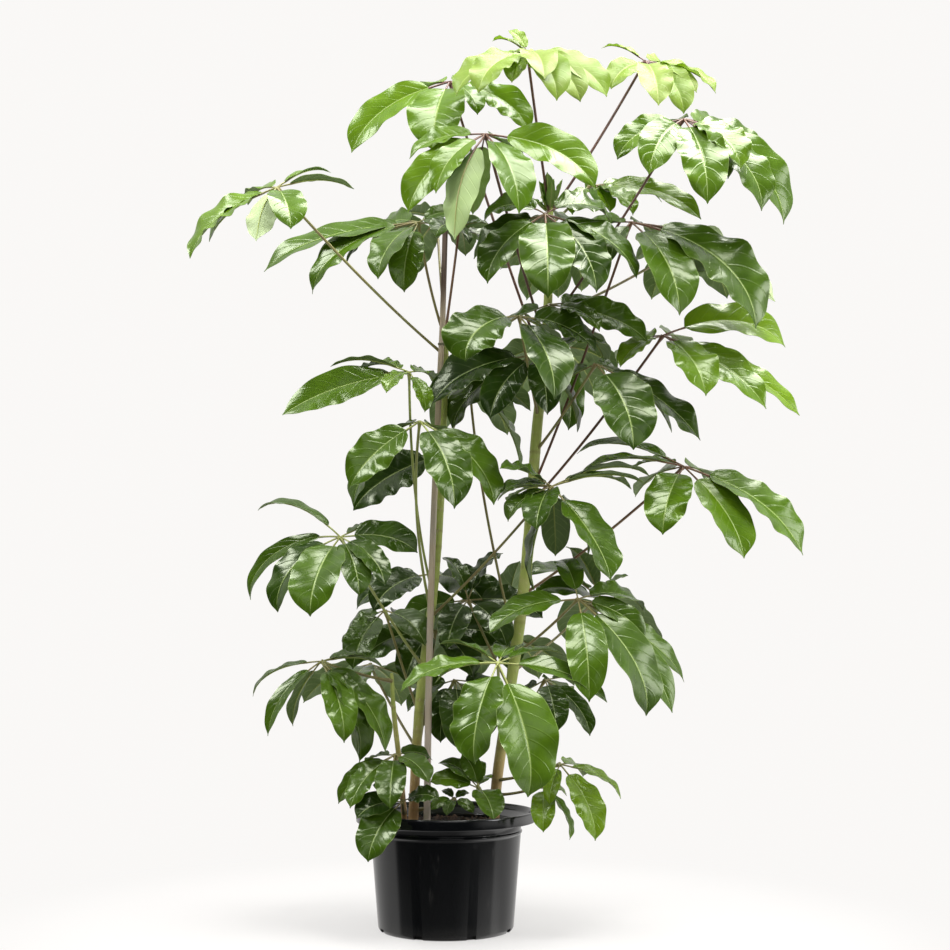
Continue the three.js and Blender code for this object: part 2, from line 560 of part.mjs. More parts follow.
FRONDS.forEach((frond, f) => {
  const hub = vec(frond.hub);
  const leaflets = [];
  frond.tips.forEach(([x, y, z, face, width], i) => {
    for (const [turn, rise] of TURNS) {
      const tip = swing(new THREE.Vector3(x, y, z), turn, rise);
      const azimuth = THREE.MathUtils.radToDeg(Math.atan2(tip.y, tip.x));
      const apart = (other) => Math.abs(((azimuth - other.azimuth + 540) % 360) - 180);
      if (leaflets.some((other) => apart(other) < LEAF.apart)) continue;
      const look = {
        ratio: width ?? frond.width ?? LEAF.widthToLength,
        roll: (face ?? frond.face ?? LEAF.face) * Math.cos(rad(azimuth))
          + LEAF.sway * Math.sin(2.4 * i + 1.3 * f),
        phase: 1.7 * i + f,
      };
      const swept = leafletRings(hub, tip, { ...look, start: 0.5, grow: CLEAR });
      const probe = loft(swept.rings, null, swept.end);
      const box = probe.boundingBox();
      const hit = fixed.some((other) => other.owner !== frond.name && boxesMeet(box, other.box)
        && !probe.intersect(other.shape).isEmpty());
      if (hit) continue;
      leaflets.push({ azimuth, ...leafletRings(hub, tip, look) });
      const blade = leafletRings(hub, tip, { ...look, start: 0.5 });
      keepClear(loft(blade.rings, null, blade.end), `${frond.name}_leaflet`);
      return;
    }
  });
  const shape = makeStalk(frond).add(makeLeaflets(hub, leaflets))
    .subtract(grownStems[frond.stem]);
  addNode(`frond_${frond.name}`, shape, COLOURS.leaf[frond.young ?? 0], 0.35);
});

export default group;
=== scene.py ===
"""The looks of a potted umbrella plant: two cane stems, a side stem and a stake in a black nursery
pot, with palmate fronds of glossy leaflets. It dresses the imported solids, which it has as its frame.
Lengths in the tables are millimetres in that frame: +Z up, -Y towards the viewer, the origin at the
middle of the pot's underside."""
import math
import random
from collections import namedtuple

import bpy
import numpy as np
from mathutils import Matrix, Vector, noise


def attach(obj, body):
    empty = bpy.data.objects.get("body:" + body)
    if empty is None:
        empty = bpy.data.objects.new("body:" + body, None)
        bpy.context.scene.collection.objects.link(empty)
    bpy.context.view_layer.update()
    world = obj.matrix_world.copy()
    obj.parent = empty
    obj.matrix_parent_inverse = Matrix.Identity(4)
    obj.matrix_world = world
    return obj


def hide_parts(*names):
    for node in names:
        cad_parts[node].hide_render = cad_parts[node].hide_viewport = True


bl_info = {
    "name": "Potted umbrella plant",
    "version": (1, 0, 0),
    "blender": (4, 5, 0),
    "location": "3D View > Sidebar > Umbrella plant",
    "description": "Dresses the solids of a potted umbrella plant with leaves, bark, soil and pot",
    "category": "Object",
}

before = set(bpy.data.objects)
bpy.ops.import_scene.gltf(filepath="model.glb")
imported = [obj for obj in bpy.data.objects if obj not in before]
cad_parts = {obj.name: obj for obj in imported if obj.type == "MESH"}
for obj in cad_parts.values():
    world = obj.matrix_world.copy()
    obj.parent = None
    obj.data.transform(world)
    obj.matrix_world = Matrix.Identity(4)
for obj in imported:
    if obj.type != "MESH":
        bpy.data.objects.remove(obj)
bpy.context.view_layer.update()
BODY = "root"
MM = 0.001

# ---- driving dimensions, millimetres and degrees ------------------------------------------
POT = {
    "height": 198.5, "rim": 150, "skirt": 181, "collar": 143.5, "neck": 126, "ridge": 163.5,
    "base": 113, "wall": 3, "segments": 160,
    "slots": 8, "slot_width": 16, "slot_height": 7, "slot_depth": 16,
}
SOIL = {"level": 172, "radius": 122.4, "heap": 3.4, "foot": 6, "foot_radius": 109}
STAKE = {"foot": (-32, -15, 70), "top": (-1, -3, 1179), "foot_width": 10.5, "top_width": 8,
         "turn": 32, "bevel": 0.16, "bow": -6.5, "bow_ends": 0.85, "rings": 60}
STEMS = {  # middle lines, foot to top, each point with the stem's radius there
    "left": [(-58, 12, 70, 8), (-55, 12, 188, 8.5), (-44, 14, 382, 8), (-22, 16, 560, 7.5),
             (-11, 17, 701, 7), (-5, 16, 850, 6.5), (-2, 14, 960, 6), (-1, 14, 1008, 5)],
    "right": [(78, 18, 70, 9), (84, 20, 230, 9), (108, 22, 398, 9.5), (131, 24, 567, 10),
              (142, 24, 685, 9.5), (153, 24, 837, 9), (167, 22, 972, 8), (174, 20, 1110, 7),
              (176, 18, 1212, 5.5)],
    "sucker": [(-64, -22, 90, 4.5), (-69, -21, 192, 4.8), (-77, -20, 280, 4.5), (-86, -20, 360, 4),
               (-90, -20, 428, 3.2)],
}
STEM_NODES = {"left": "trunk_left", "right": "trunk_right", "sucker": "sucker_stem"}
SCAR = {"first": 18, "spacing": 46, "apart": 16, "below_top": 12, "height": 2.4, "lift": 0.3}
TIES = {"tie_top": {"height": 977, "round_stem": 6.4}, "tie_low": {"height": 223, "round_stem": 8.4}}
TWINE = {"radius": 0.62, "pitch": 1.15, "wander": 0.35, "clear": 0.9, "sides": 7}
LEAF = {
    "stalk": 0.17,  # share of a leaflet's length that is its own little stalk
    "root": 3.2,  # width where the blade leaves that stalk
    "width_to_length": 0.5,
    "face": 52, "sway": 8,  # how far a leaflet turns to the front, and sways to either side
    "bend": 52, "lead": 0.4,  # how far it bends, and the share of that by which it first rises
    "steepest": -98,  # the steepest that its tip may hang
    "handle": 0.36,  # share of its length on which each end keeps its direction
    "keel": 0.24, "wave": 0.05,  # how far its sides fold up, and how far it tilts on its way
    "thick": 0.6, "tip": 0.4,  # the blade's thickness, and half the width of its very tip
    "veins": 8, "vein_lean": (0.16, 0.07),  # side veins on a side, and how far they run forward
    "quilt": 0.9,  # how far the blade swells up between two side veins
    "curl_from": 0.72,  # share of the blade from which its end curls
}
# a leaf stalk: its radius, wider where it leaves the stem and where the leaflets meet
STALK = {"radius": 2.3, "flare": 4.6, "flare_length": 14, "sag": 0.05, "hub": 4.2, "hub_length": 7}
RIB = {"stalk": 1.5, "foot": 1.45, "tip": 0.25, "usual_length": 180}
STALK_TONE = 0.45

# ---- fronds -------------------------------------------------------------------------------
# stem and at: the stem that the leaf stalk grows from, and the height there. hub: where the
# leaflets meet. leaflets: each one's tip, measured from the hub, and after it, where they differ
# from the frond's own, its face (degrees that it turns to the front), its width to length and how
# many degrees its middle line bends. elbow: the point that bows the leaf stalk. young: 1 for a
# frond that is still light green and 2 for a lime green one. tint: how much lighter than the rest,
# or deeper, its green is; the deeper greens of the fronds named shade, inside the plant, are
# painted shade, and the lighter green of foot_right is a painted sheen. tone: how purple its
# stalk is, from 0, yellow green, to 1, purple brown.
Frond = namedtuple("Frond", "name stem at hub leaflets elbow face width young tint tone",
                   defaults=(None, LEAF["face"], LEAF["width_to_length"], 0, 0, STALK_TONE))
FRONDS = [
    Frond("crown_centre", "right", 1196, (135, -30, 1455), [
        (-120, -30, -80, 35), (-82.35, -82.35, -93.34), (45, -100, -112), (85, -50, -98),
        (129, -30, -84, 52, 0.46, 60), (55, 95, 0), (-60, 85, 5), (-31, 15, 43, 40),
        (-58, 30, 34, 20, 0.45), (24, -110, -83, 10),
        (-27, -60, -71, 20)], young=2, tint=-0.12, tone=0.95),
    Frond("crown_right", "right", 1204, (338, 40, 1468), [
        (-62, -40, -61, 60, 0.6), (12, -90, -108), (58, -60, -110), (118.85, -15.92, -59.79, 20),
        (-73, 20, 33, 14, 0.34), (60, 90, 5), (82, -40, -68, 40, 0.34)], young=2, tint=-0.2, tone=1),
    Frond("right_high", "right", 1010, (390, -60, 1335), [
        (-112, -20, -70, 60), (-66, -80, -115), (24, -100, -167, 25, 0.48), (125, -40, -159, 45, 0.46),
        (175, 30, -162, 62, 0.48, 60), (110, 120, -20), (-20, 130, 0), (83, -70, -102, 30, 0.56),
        (168, 70, -89, 50, 0.5, 60), (71, -30, -106, 30, 0.4)], tint=0.25, tone=0.9),
    Frond("left_top", "right", 950, (5, 60, 1440), [
        (-168, -10, -124, 56, 0.38, 56), (-27, -95, -148, 12, 0.66, 44), (49, -60, -76, 10),
        (137, -30, -95, 62, 0.46), (-70, 110, 0), (60, 110, 0)], young=1, tint=-0.25, tone=1),
    Frond("centre_top", "right", 985, (65, -100, 1297), [
        (-124, -15, -130, 55, 0.42), (-78, -55, -112, 50, 0.4), (-46, -60, -187, 10, 0.36),
        (52, -90, -154, 8, 0.46), (175, -40, -98, 55, 0.44), (-125, 20, -31, 40, 0.42), (60, 110, -20),
        (-20, 70, -110)], young=1, tint=-0.4, tone=0.9),
    Frond("centre_high", "right", 1120, (161, -110, 1165), [
        (-95, -35, -118, 45), (0, -95, -155, 0, 0.58), (78.14, -57.71, -138.91),
        (149.55, -10.84, -102.89, 25), (-115, 45, -60), (90, 80, -30), (-10, 110, -20),
        (111, 40, -5, 50, 0.66, 112), (-98, 40, -2, 50, 0.66, 112)], tint=-0.1, tone=0.7),
    Frond("right_young", "right", 1184, (246, 60, 1262), [
        (186, -30, -66, 40, 0.34), (69, -60, -66, 30), (30, 120, 0), (-34, -40, -60, 40),
        (30, -50, -60, 20), (130, 30, -16, 30, 0.36)], young=1),
    Frond("right_upper", "right", 738, (306, -40, 1172), [
        (67, -100, -175, 22, 0.48), (198, -48, -185, 50, 0.5, 74), (237, 15, -130, 45),
        (-37, -40, -76, 20, 0.44), (80, 150, -20), (-106.75, 69.32, -15),
        (-52, 30, -2, 30, 0.5, 50)], tone=0.8),
    Frond("right_middle", "right", 716, (360, -30, 987), [
        (56, -95, -116, 34, 0.56), (159, -75, -129, 45, 0.36, 26), (229, 5, -130, 40, 0.28, 26),
        (217, 60, -6, 64, 0.42, 70), (60, 140, -10), (-70, 110, -20),
        (-75, -40, -60, 25)], tint=0.65, tone=0.85),
    Frond("centre_broad", "right", 860, (119, -110, 1002), [
        (54, -95, -148, 8, 0.54), (-85, -50, -82, 50, 0.95, 118), (-60, 110, -50), (80, 100, -50),
        (130, 50, -50)], width=0.52, tint=-0.17),
    Frond("centre_dark", "right", 992, (172, -40, 1036), [
        (161, -20, -63, 56, 0.42, 34), (108.52, 119.68, -88), (115.8, 71.04, -12.02),
        (-93.72, 60.95, -51.97), (78, -60, -55, 40, 0.4)], tint=-0.1),
    Frond("right_low_broad", "right", 800, (246, -60, 934), [
        (54, -80, -150, 24, 0.66), (171, -5, -125, 45, 0.42, 30), (-70, 70, -50), (70, 110, -30),
        (130, 40, -106, 40, 0.4)]),
    Frond("right_low", "right", 560, (393, -40, 769), [
        (91, -55, -154, 34, 0.52, 36), (194, -10, -147, 44, 0.42, 50), (-46, -85, -118, 40, 0.6),
        (-80, 60, 4, 10), (70, 120, -30), (-69.11, 107.81, -40), (-175, 70, 36, 12, 0.28),
        (-173, -20, -13, 20, 0.3)], tint=0.5, tone=0.7),
    Frond("middle_right", "left", 522, (173, -92, 731), [
        (166, 40, 24, 6, 0.3), (138, 85, 6, 6, 0.3), (150, -15, 2, 4, 0.3),
        (92, -65, -153, 24, 0.54, 24), (-30, -90, -76, 0, 0.6), (8, 50, -110), (-90, 30, -18, 20),
        (-70, 90, -20), (-85, -50, 24, 20, 0.6, 40), (-84, -20, -11, 30), (-74, -40, -59, 10, 0.56),
        (-32, 10, -171, 20, 0.4), (64, 40, -111, 30, 0.46)], tint=-0.15),
    Frond("low_right", "right", 460, (213, -120, 548), [
        (-142, -20, -54, 25), (11, -90, -161, 6, 0.42), (108, -50, -184),
        (149, -10, -181, 40, 0.32, 40), (182, 45, -130, 44, 0.26, 26), (115, 60, -20, 40, 0.5, 76),
        (57.22, 133.61, -20), (108, 10, -65, 60, 0.44), (-24, 90, 67, 20, 0.45)], face=34, tint=-0.07),
    Frond("front_low", "right", 310, (84, -190, 447), [
        (-39, -85, -150, 0, 0.56), (48, -55, -204, 25, 0.54), (-152, -20, -44, 20, 0.34),
        (-92, 45, 30, 5, 0.3), (-100, 15, -30, 5, 0.3), (169, 0, -61, 30, 0.34), (108, 50, 12, 5, 0.3),
        (30, 100, 20), (-123, 60, -22, 12, 0.3)], face=18, tint=0.05, tone=0.2),
    Frond("left_low", "sucker", 415, (-203, -60, 448), [
        (-119, 20, -56, 22, 0.26, 66), (-80, -50, -119, 20, 0.24, 60), (-52, 35, -108, 10, 0.32),
        (46, -80, -128, 14, 0.4), (101, 40, -11, 10, 0.36), (79, -30, -108, 35, 0.44),
        (62.8, 3.26, -166.72), (108, -40, -146, 16, 0.4), (81, 30, 2, 10, 0.4),
        (65, -55, -106, 30, 0.4)], face=35, tint=0.15),
    Frond("left_middle", "left", 437, (-170, -80, 650), [
        (-142, 40, 52, 12, 0.3, 70), (-152, 40, -101, 60, 0.2, 112), (-97, -40, -123, 40, 0.44, 84),
        (-40, -95, -130, 0, 0.62), (78, -60, -79, 30, 0.44), (126, 0, -25, 50, 0.56),
        (89, 70, 18, 8, 0.34), (37, -70, -98, 10), (65, 40, 27, 10, 0.4, 30)], tint=-0.12, tone=0.2),
    Frond("left_broad", "left", 530, (-40, -100, 835), [
        (-111, -40, -110, 52, 0.5, 30), (-113, 45, -130, 66), (58, -85, -148, 24), (122, -25, -136, 40),
        (-59.13, 84.28, -30), (58.06, 96.76, -42.03)], elbow=(-62, -30, 690), tint=0.05, tone=0.15),
    Frond("left_upper", "left", 560, (-59, -60, 921), [
        (-207, -5, -71, 60, 0.36, 26), (-186.02, 68.53, -51, 5, 0.3), (-34, -70, -44, 10, 0.44),
        (-84.28, 59.13, 14, 20), (42.06, 90.73, -4), (28, -30, -70, 20),
        (-131, 20, 13, 10, 0.26)], elbow=(-60, 0, 700), tint=0.5, tone=0.1),
    Frond("left_far", "left", 962, (-261, -170, 1190), [
        (-135, -10, -113, 40, 0.46), (-111, 20, -79, 30, 0.46), (-22, -60, -101, 0),
        (30, -66, -83, 0, 0.66), (119, 20, 3, 6, 0.3), (-60, 90, 0),
        (81, 40, 38, 10, 0.28)], tint=0.4, tone=0.4),
    Frond("left_dark", "left", 640, (-5, 55, 802), [
        (-156, -15, -96, 66, 0.56, 34), (-70, 80, -40), (75, 80, -60)], tint=-0.2),
    Frond("left_high", "left", 990, (-46, -10, 1180), [
        (-267, 30, -68, 40, 0.28, 30), (-181, -15, -120, 40, 0.3, 62), (-64, -75, -112, 26),
        (-21.15, -47.47, -128, 30), (70, 20, 18), (60, 80, -10), (-90, 100, 0),
        (-124, 20, -62, 44, 0.3, 60), (-182, 40, -67, 44, 0.3, 50)], elbow=(-30, 6, 1070), tint=0.15),
    # centre_shade's deeper green, tint -0.25, is painted shade: the frond stands inside the plant
    Frond("centre_shade", "right", 905, (150, -30, 955), [
        (-76.54, -46.39, -113.26), (-173.16, -11.39, -83.75), (-144.44, 33.02, -117.78),
        (15, -70, -110), (71, 30, -124, 30), (125, 30, 22, 30, 0.4)], tint=-0.25),
    Frond("centre_small", "right", 470, (37, 30, 952), [
        (50, -25, 8), (-45, 30, -12), (36.65, -34.02, 45), (-20, -60, -45),
        (50, 60, -30)], elbow=(48, -14, 740)),
    Frond("stake_top", "left", 1004, (22, 25, 1182), [
        (18, -30, -37, 20, 0.36), (-38.49, -88.95, -40.09), (75.65, 28.37, -48.71),
        (-45.16, 82.83, -0.39), (10, 110, -20), (52, 0, 4, 20, 0.5, 50)], tint=-0.3, tone=0.75),
    # the deeper greens of the fronds from here down to low_shade, tints -0.3 to -0.4, are painted
    # shade: they stand inside the plant
    Frond("left_shade", "left", 360, (-106, 60, 534), [
        (-54, -30, -41, 30), (72.24, -77.98, -60), (-48.8, -76.41, -100.02), (-80, 70, -60),
        (60, 90, -50)], tint=-0.3),
    Frond("middle_shade", "right", 400, (37, 42, 551), [
        (-34.03, -90.71, -81.93), (65, -70, -80), (128.24, 23.53, -30), (-119.34, 12.54, -50),
        (-60, 110, -60), (60, 100, -50), (60, 30, 82, 20, 0.5, 60),
        (-45, 40, 77, 20, 0.5, 60)], tint=-0.3),
    Frond("front_shade", "left", 330, (15, 40, 415), [
        (-23.83, -42.05, -104.33), (60, -50, -92), (92, 40, -40), (-85, 40, -55), (20, 90, -60),
        (9, -80, -115, 0, 0.6)], tint=-0.4),
    Frond("shade_behind", "left", 260, (-20, 115, 500), [
        (-130.12, -19.28, -54.05), (-50, -75, -90), (65.79, -76.76, -79.87), (135, 0, -30),
        (-24.43, 85.51, -74.94), (60, 90, -40)], width=0.55, tint=-0.4),
    Frond("shade_left_back", "left", 470, (-31, 150, 600), [
        (-135, 20, -60), (135, 20, -60), (-95.42, -95.42, -66.26), (101.2, -102.41, -61.41),
        (70, 120, -50)], tint=-0.35),
    Frond("low_shade", "right", 300, (168, 45, 415), [
        (75, -40, -93, 30, 0.38), (75, 30, -8, 20, 0.4), (-64.85, 55.59, -69.31), (40, 110, -45),
        (15, -90, -85)], tint=-0.35),
    Frond("foot_left", "sucker", 240, (-82, -72, 296), [
        (-94, 0, -79, 50, 0.36, 40), (-67, -65, -80, 30, 0.44), (-3, -95, -77), (57.8, -73.56, -38.43),
        (60, 50, -12), (-57, 50, -23, 20, 0.4)], face=35, tint=-0.1),
    Frond("rim_left", "sucker", 196, (-68, -104, 224), [
        (-51, -66, -88, 30, 0.63), (60, -46, 8), (-50, 20, 25), (-71, -40, -23, 40, 0.68)], tint=-0.3),
    # foot_right's lighter green, tint 0.9, is a painted sheen
    Frond("foot_right", "right", 246, (186, -88, 282), [
        (54, -55, -117, 26, 0.44), (102, 0, -54, 15, 0.34), (-20, -50, -60, 10, 0.4),
        (45, 80, -25)], face=30, tint=0.9),
    Frond("foot_right_small", "right", 222, (160, -78, 246), [
        (-4, -70, -66), (44, -20, -85, 10, 0.32), (40, 40, -20)], width=0.5, tint=0.6),
    Frond("foot_centre", "right", 206, (54, -30, 238), [
        (25, -85, -43, 0, 0.62), (-28, 20, 55), (-80, 5, 10), (9.65, 71.46, 10), (6, 30, 44, 10, 0.5),
        (-67, 30, 40, 30, 0.6, 60)], width=0.6, tint=0.3, tone=0.3),
    Frond("foot_sprout", "left", 196, (14, -34, 220), [
        (-38, -15, -16), (32, -25, -20), (-12, -42, -22), (25, 25, 8),
        (-20, 28, 12)], elbow=(0, 25, 204)),
    Frond("back_top_left", "left", 992, (-20, 190, 1240), [
        (-120, 30, -60), (120, 20, -60), (-70, -100, -30), (56, 90, -32, -30, 0.4),
        (-60, 120, -80)], face=-30),
    Frond("back_top_right", "right", 1090, (215, 200, 1205), [
        (-120, 10, -50), (29, 30, -86), (70, -110, -30), (-13, 60, -91), (-70, 120, -80)], face=-30),
    Frond("back_right", "right", 1030, (425, 150, 1185), [
        (-100, -40, -40), (120, 20, -60), (90, 110, -70), (-50, 120, -70), (50, -100, -60)], face=-30),
    Frond("back_centre", "right", 830, (200, 220, 1020), [
        (-120, 10, -50), (110, 10, -50), (80, 120, -80), (-70, 120, -80), (10, -120, -30),
        (20, -20, -158, 20, 0.44)], face=-30),
    Frond("back_left", "left", 800, (40, 200, 950), [
        (-90, 0, -40), (110, 20, -50), (70, 120, -80), (-60, 120, -80), (-40, -100, -50),
        (-18, -60, 116, 40), (44, -90, 113, 40), (91, 40, -155, 20, 0.4)], face=-30),
    Frond("back_low_right", "right", 430, (270, 170, 560), [
        (-118, -60, 7, 40, 0.44, 40), (110, -20, -90), (90, 110, -80), (-50, 130, -80), (30, -120, -70),
        (-127, -100, 40, 20), (-62, -60, 89, 20), (50, -20, 38, 30)], face=-30),
    Frond("back_low_centre", "right", 370, (110, 210, 490), [
        (-135.76, 24.91, -65.93), (120, 20, -90), (60, 120, -80), (-70, 120, -80), (0, -120, -60),
        (19, -30, 136, 10), (-70, -40, 91, 10)], face=-30),
    Frond("back_low_left", "left", 300, (-139, 170, 440), [
        (-120, 10, -70), (120, 10, -80), (50, 120, -80), (-60, 110, -80), (-30, -120, -60)], face=-30),
]
# Leaflets that show their undersides: the frond, and the place among its leaflets.
TURNED_OVER = {("centre_top", 2), ("left_far", 2), ("right_upper", 2)}
# The young leaflets at the top of the right stem, which stand up folded.
GROWING_TIP = Frond("growing tip", "right", 1204, (174, 18, 1204), [
    (-17, 0, 54, 30, 0.44, -20), (-4, -14, 64, 10, 0.4, -20), (7, 8, 60, -20, 0.4, -20),
    (21, -8, 54, 30, 0.36, -20), (33, 4, 32, 20, 0.36, -20), (-26, 6, 26, 20, 0.4, -20),
    (3, -26, 44, 10, 0.36, -20), (10, 24, 46, -20, 0.4, -20), (-12, 22, 36, -20, 0.4, -20)],
    young=1, tint=-0.2)
GROWING_TIP_ORDER = 90  # its number among the fronds, which seeds its variation
GROWING_TIP_FOLD = 3  # how much more than a grown leaflet's its blades fold

# ---- stage --------------------------------------------------------------------------------
# Metres and watts. The camera's focal length is in pixels of a picture 950 pixels wide.
CAMERA = {"focal": 1513, "picture": 950, "sensor": 36, "x": 0.0486, "height": 0.481,
          "distance": 2.534, "shift": 0.175}
FLOOR = {"reach": 14000, "sides": 96, "level": -0.2}  # mm
LAMPS = [  # name, place, the point that it aims at, width and height, power, colour
    ("softbox above", (1.0, -0.4, 4.2), (0.1, 0, 0.9), (3.2, 2.2), 430, (1, 0.985, 0.96)),
    ("softbox right", (2.6, -0.9, 1.5), (0.2, 0, 0.7), (1.0, 1.4), 45, (1, 1, 1)),
    ("softbox left", (-1.7, -0.9, 3.0), (0, 0, 0.8), (1.1, 1.1), 85, (1, 1, 1)),
    ("softbox front", (0.6, -3.6, 2.2), (0, 0, 0.7), (2.6, 1.6), 21, (1, 1, 1)),
]


# ---- node trees ---------------------------------------------------------------------------
class Value:
    """A socket of a node tree that Python's operators work on, adding its Math nodes."""

    def __init__(self, tree, socket):
        self.tree = tree
        self.socket = socket

    def maths(self, operation, *others):
        return self.tree.node("ShaderNodeMath", {"operation": operation}, self, *others)

    def __add__(self, other):
        return self.maths("ADD", other)

    def __sub__(self, other):
        return self.maths("SUBTRACT", other)

    def __rsub__(self, other):
        return self.tree.node("ShaderNodeMath", {"operation": "SUBTRACT"}, other, self)

    def __mul__(self, other):
        return self.maths("MULTIPLY", other)

    def __pow__(self, other):
        return self.maths("POWER", other)

    def __lt__(self, other):
        return self.maths("LESS_THAN", other)

    def __abs__(self):
        return self.maths("ABSOLUTE")

    __radd__ = __add__
    __rmul__ = __mul__


class Tree:
    """A node tree that is written as Python expressions."""

    def __init__(self, tree):
        self.tree = tree
        self.tree.nodes.clear()

    def fill(self, socket, value):
        if isinstance(value, Value):
            self.tree.links.new(value.socket, socket)
        elif socket.type == "RGBA" and len(value) == 3:
            socket.default_value = (*value, 1)
        else:
            socket.default_value = value

    def node(self, kind, settings=None, *values, output=0, **named):
        """Adds a node: its settings first, then its inputs in order or by name."""
        made = self.tree.nodes.new(kind)
        for key, value in (settings or {}).items():
            if key == "stops":
                ramp = made.color_ramp
                for place, _ in value[2:]:
                    ramp.elements.new(place)
                for element, (place, colour) in zip(ramp.elements, value):
                    element.position = place
                    element.color = (*colour, 1)
            else:
                setattr(made, key, value)
        for index, value in enumerate(values):
            if value is not None:
                self.fill(made.inputs[index], value)
        for name, value in named.items():
            self.fill(made.inputs[name.replace("_", " ")], value)
        return Value(self, made.outputs[output]) if made.outputs else None

    def blend(self, first, second, share):
        """Two colours mixed."""
        return self.node("ShaderNodeMix", {"data_type": "RGBA"}, share,
                         None, None, None, None, None, first, second, output=2)

    def step(self, value, low, high):
        """0 below low and 1 above high, with a smooth rise between."""
        return self.node("ShaderNodeMapRange", {"interpolation_type": "SMOOTHSTEP"},
                         value, low, high)

    def parts(self, vector):
        split = self.node("ShaderNodeSeparateXYZ", None, vector).socket.node
        return [Value(self, split.outputs[axis]) for axis in "XYZ"]


class Finish(Tree):
    """A material's tree. Its patterns lie on the object's own coordinates, in metres."""

    def __init__(self, name):
        self.material = bpy.data.materials.new(name)
        self.material.use_nodes = True
        super().__init__(self.material.node_tree)

    def place(self):
        return self.node("ShaderNodeTexCoord", output="Object")

    def height(self):
        return self.parts(self.place())[2]

    def attribute(self, name):
        return self.node("ShaderNodeAttribute", {"attribute_name": name}, output="Fac")

    def speckle(self, scale, detail=3, rough=0.5, stretch=None):
        """Noise from 0 to 1."""
        place = self.place()
        if stretch:
            place = self.node("ShaderNodeMapping", None, place, None, None, stretch)
        return self.node("ShaderNodeTexNoise", None, place, Scale=scale, Detail=detail,
                         Roughness=rough)

    def ramp(self, share, *stops):
        """A colour from a row of stops, each its place and its colour."""
        return self.node("ShaderNodeValToRGB", {"stops": stops}, share)

    def surface(self, colour, rough, height, depth, strength, **more):
        """A surface of this colour and roughness that the height lifts by up to depth, in metres."""
        normal = self.node("ShaderNodeBump", None, Strength=strength, Distance=depth, Height=height)
        return self.node("ShaderNodeBsdfPrincipled", None, Base_Color=colour, Roughness=rough,
                         Normal=normal, **more)

    def lit_through(self, surface, share, glow):
        """A thin surface that lets a share of the light through, in the glow's colour."""
        lit = self.node("ShaderNodeBsdfTranslucent", None, glow)
        return self.node("ShaderNodeMixShader", None, share, surface, lit)

    def ends_in(self, shader):
        """Closes the tree, and gives its material."""
        self.node("ShaderNodeOutputMaterial", None, shader)
        return self.material


def sockets(tree, **kinds):
    """A Geometry Nodes tree's own inputs and output. Gives the inputs as values, by name."""
    tree.interface.new_socket("Geometry", in_out="INPUT", socket_type="NodeSocketGeometry")
    for name, kind in kinds.items():
        tree.interface.new_socket(name, in_out="INPUT", socket_type="NodeSocket" + kind)
    tree.interface.new_socket("Geometry", in_out="OUTPUT", socket_type="NodeSocketGeometry")
    maker = Tree(tree)
    entry = tree.nodes.new("NodeGroupInput")
    return maker, {socket.name: Value(maker, socket) for socket in entry.outputs if socket.name}


def close_tree(maker, geometry, finish):
    real = maker.node("GeometryNodeRealizeInstances", None, geometry)
    painted = maker.node("GeometryNodeSetMaterial", None, real, None, finish)
    maker.node("NodeGroupOutput", None, painted)


def tube_tree():
    """Tubes along every chain of edges, as thick as the chain's attribute "thick" says."""
    tree = bpy.data.node_groups.new("tubes along paths", "GeometryNodeTree")
    maker, given = sockets(tree, Sides="Int", Finish="Material")
    lines = maker.node("GeometryNodeMeshToCurve", None, given["Geometry"])
    ring = maker.node("GeometryNodeCurvePrimitiveCircle", {"mode": "RADIUS"}, given["Sides"])
    thick = maker.node("GeometryNodeInputNamedAttribute", {"data_type": "FLOAT"}, "thick")
    skin = maker.node("GeometryNodeCurveToMesh", None, lines, ring, thick, True)
    smooth = maker.node("GeometryNodeSetShadeSmooth", None, skin)
    close_tree(maker, smooth, given["Finish"])
    return tree


def crumb_tree():
    """Rough crumbs strewn over a surface, turned and sized at random."""
    tree = bpy.data.node_groups.new("strewn crumbs", "GeometryNodeTree")
    maker, given = sockets(tree, Density="Float", Size="Float", Flatness="Float", Seed="Int",
                           Finish="Material")
    spots = maker.node("GeometryNodeDistributePointsOnFaces", None, given["Geometry"],
                       Density=given["Density"], Seed=given["Seed"])
    crumb = maker.node("GeometryNodeMeshIcoSphere", None, 1.0, 1)
    turn = maker.node("FunctionNodeRandomValue", {"data_type": "FLOAT_VECTOR"}, (0, 0, 0),
                      (math.tau, math.tau, math.tau), Seed=given["Seed"])
    size = maker.node("FunctionNodeRandomValue", {"data_type": "FLOAT_VECTOR"}, (0.5, 0.35, 0.3),
                      (1.4, 1, 0.7), Seed=given["Seed"])
    flat = maker.node("ShaderNodeCombineXYZ", None, given["Size"], given["Size"],
                      given["Size"] * given["Flatness"])
    scale = maker.node("ShaderNodeVectorMath", {"operation": "MULTIPLY"}, size, flat)
    strewn = maker.node("GeometryNodeInstanceOnPoints", None, spots, None, crumb, None, None,
                        turn, scale)
    close_tree(maker, strewn, given["Finish"])
    return tree


# ---- meshes and pieces --------------------------------------------------------------------
def add(name, data, *finishes):
    """A new object of the scene, with its materials."""
    thing = bpy.data.objects.new(name, data)
    bpy.context.scene.collection.objects.link(thing)
    for finish in finishes:
        data.materials.append(finish)
    return thing


def plain_mesh(thing):
    """Puts an object's evaluated shape in the place of its own mesh and modifiers."""
    bpy.context.view_layer.update()
    graph = bpy.context.evaluated_depsgraph_get()
    shape = bpy.data.meshes.new_from_object(thing.evaluated_get(graph))
    thing.modifiers.clear()
    thing.data = shape
    return thing


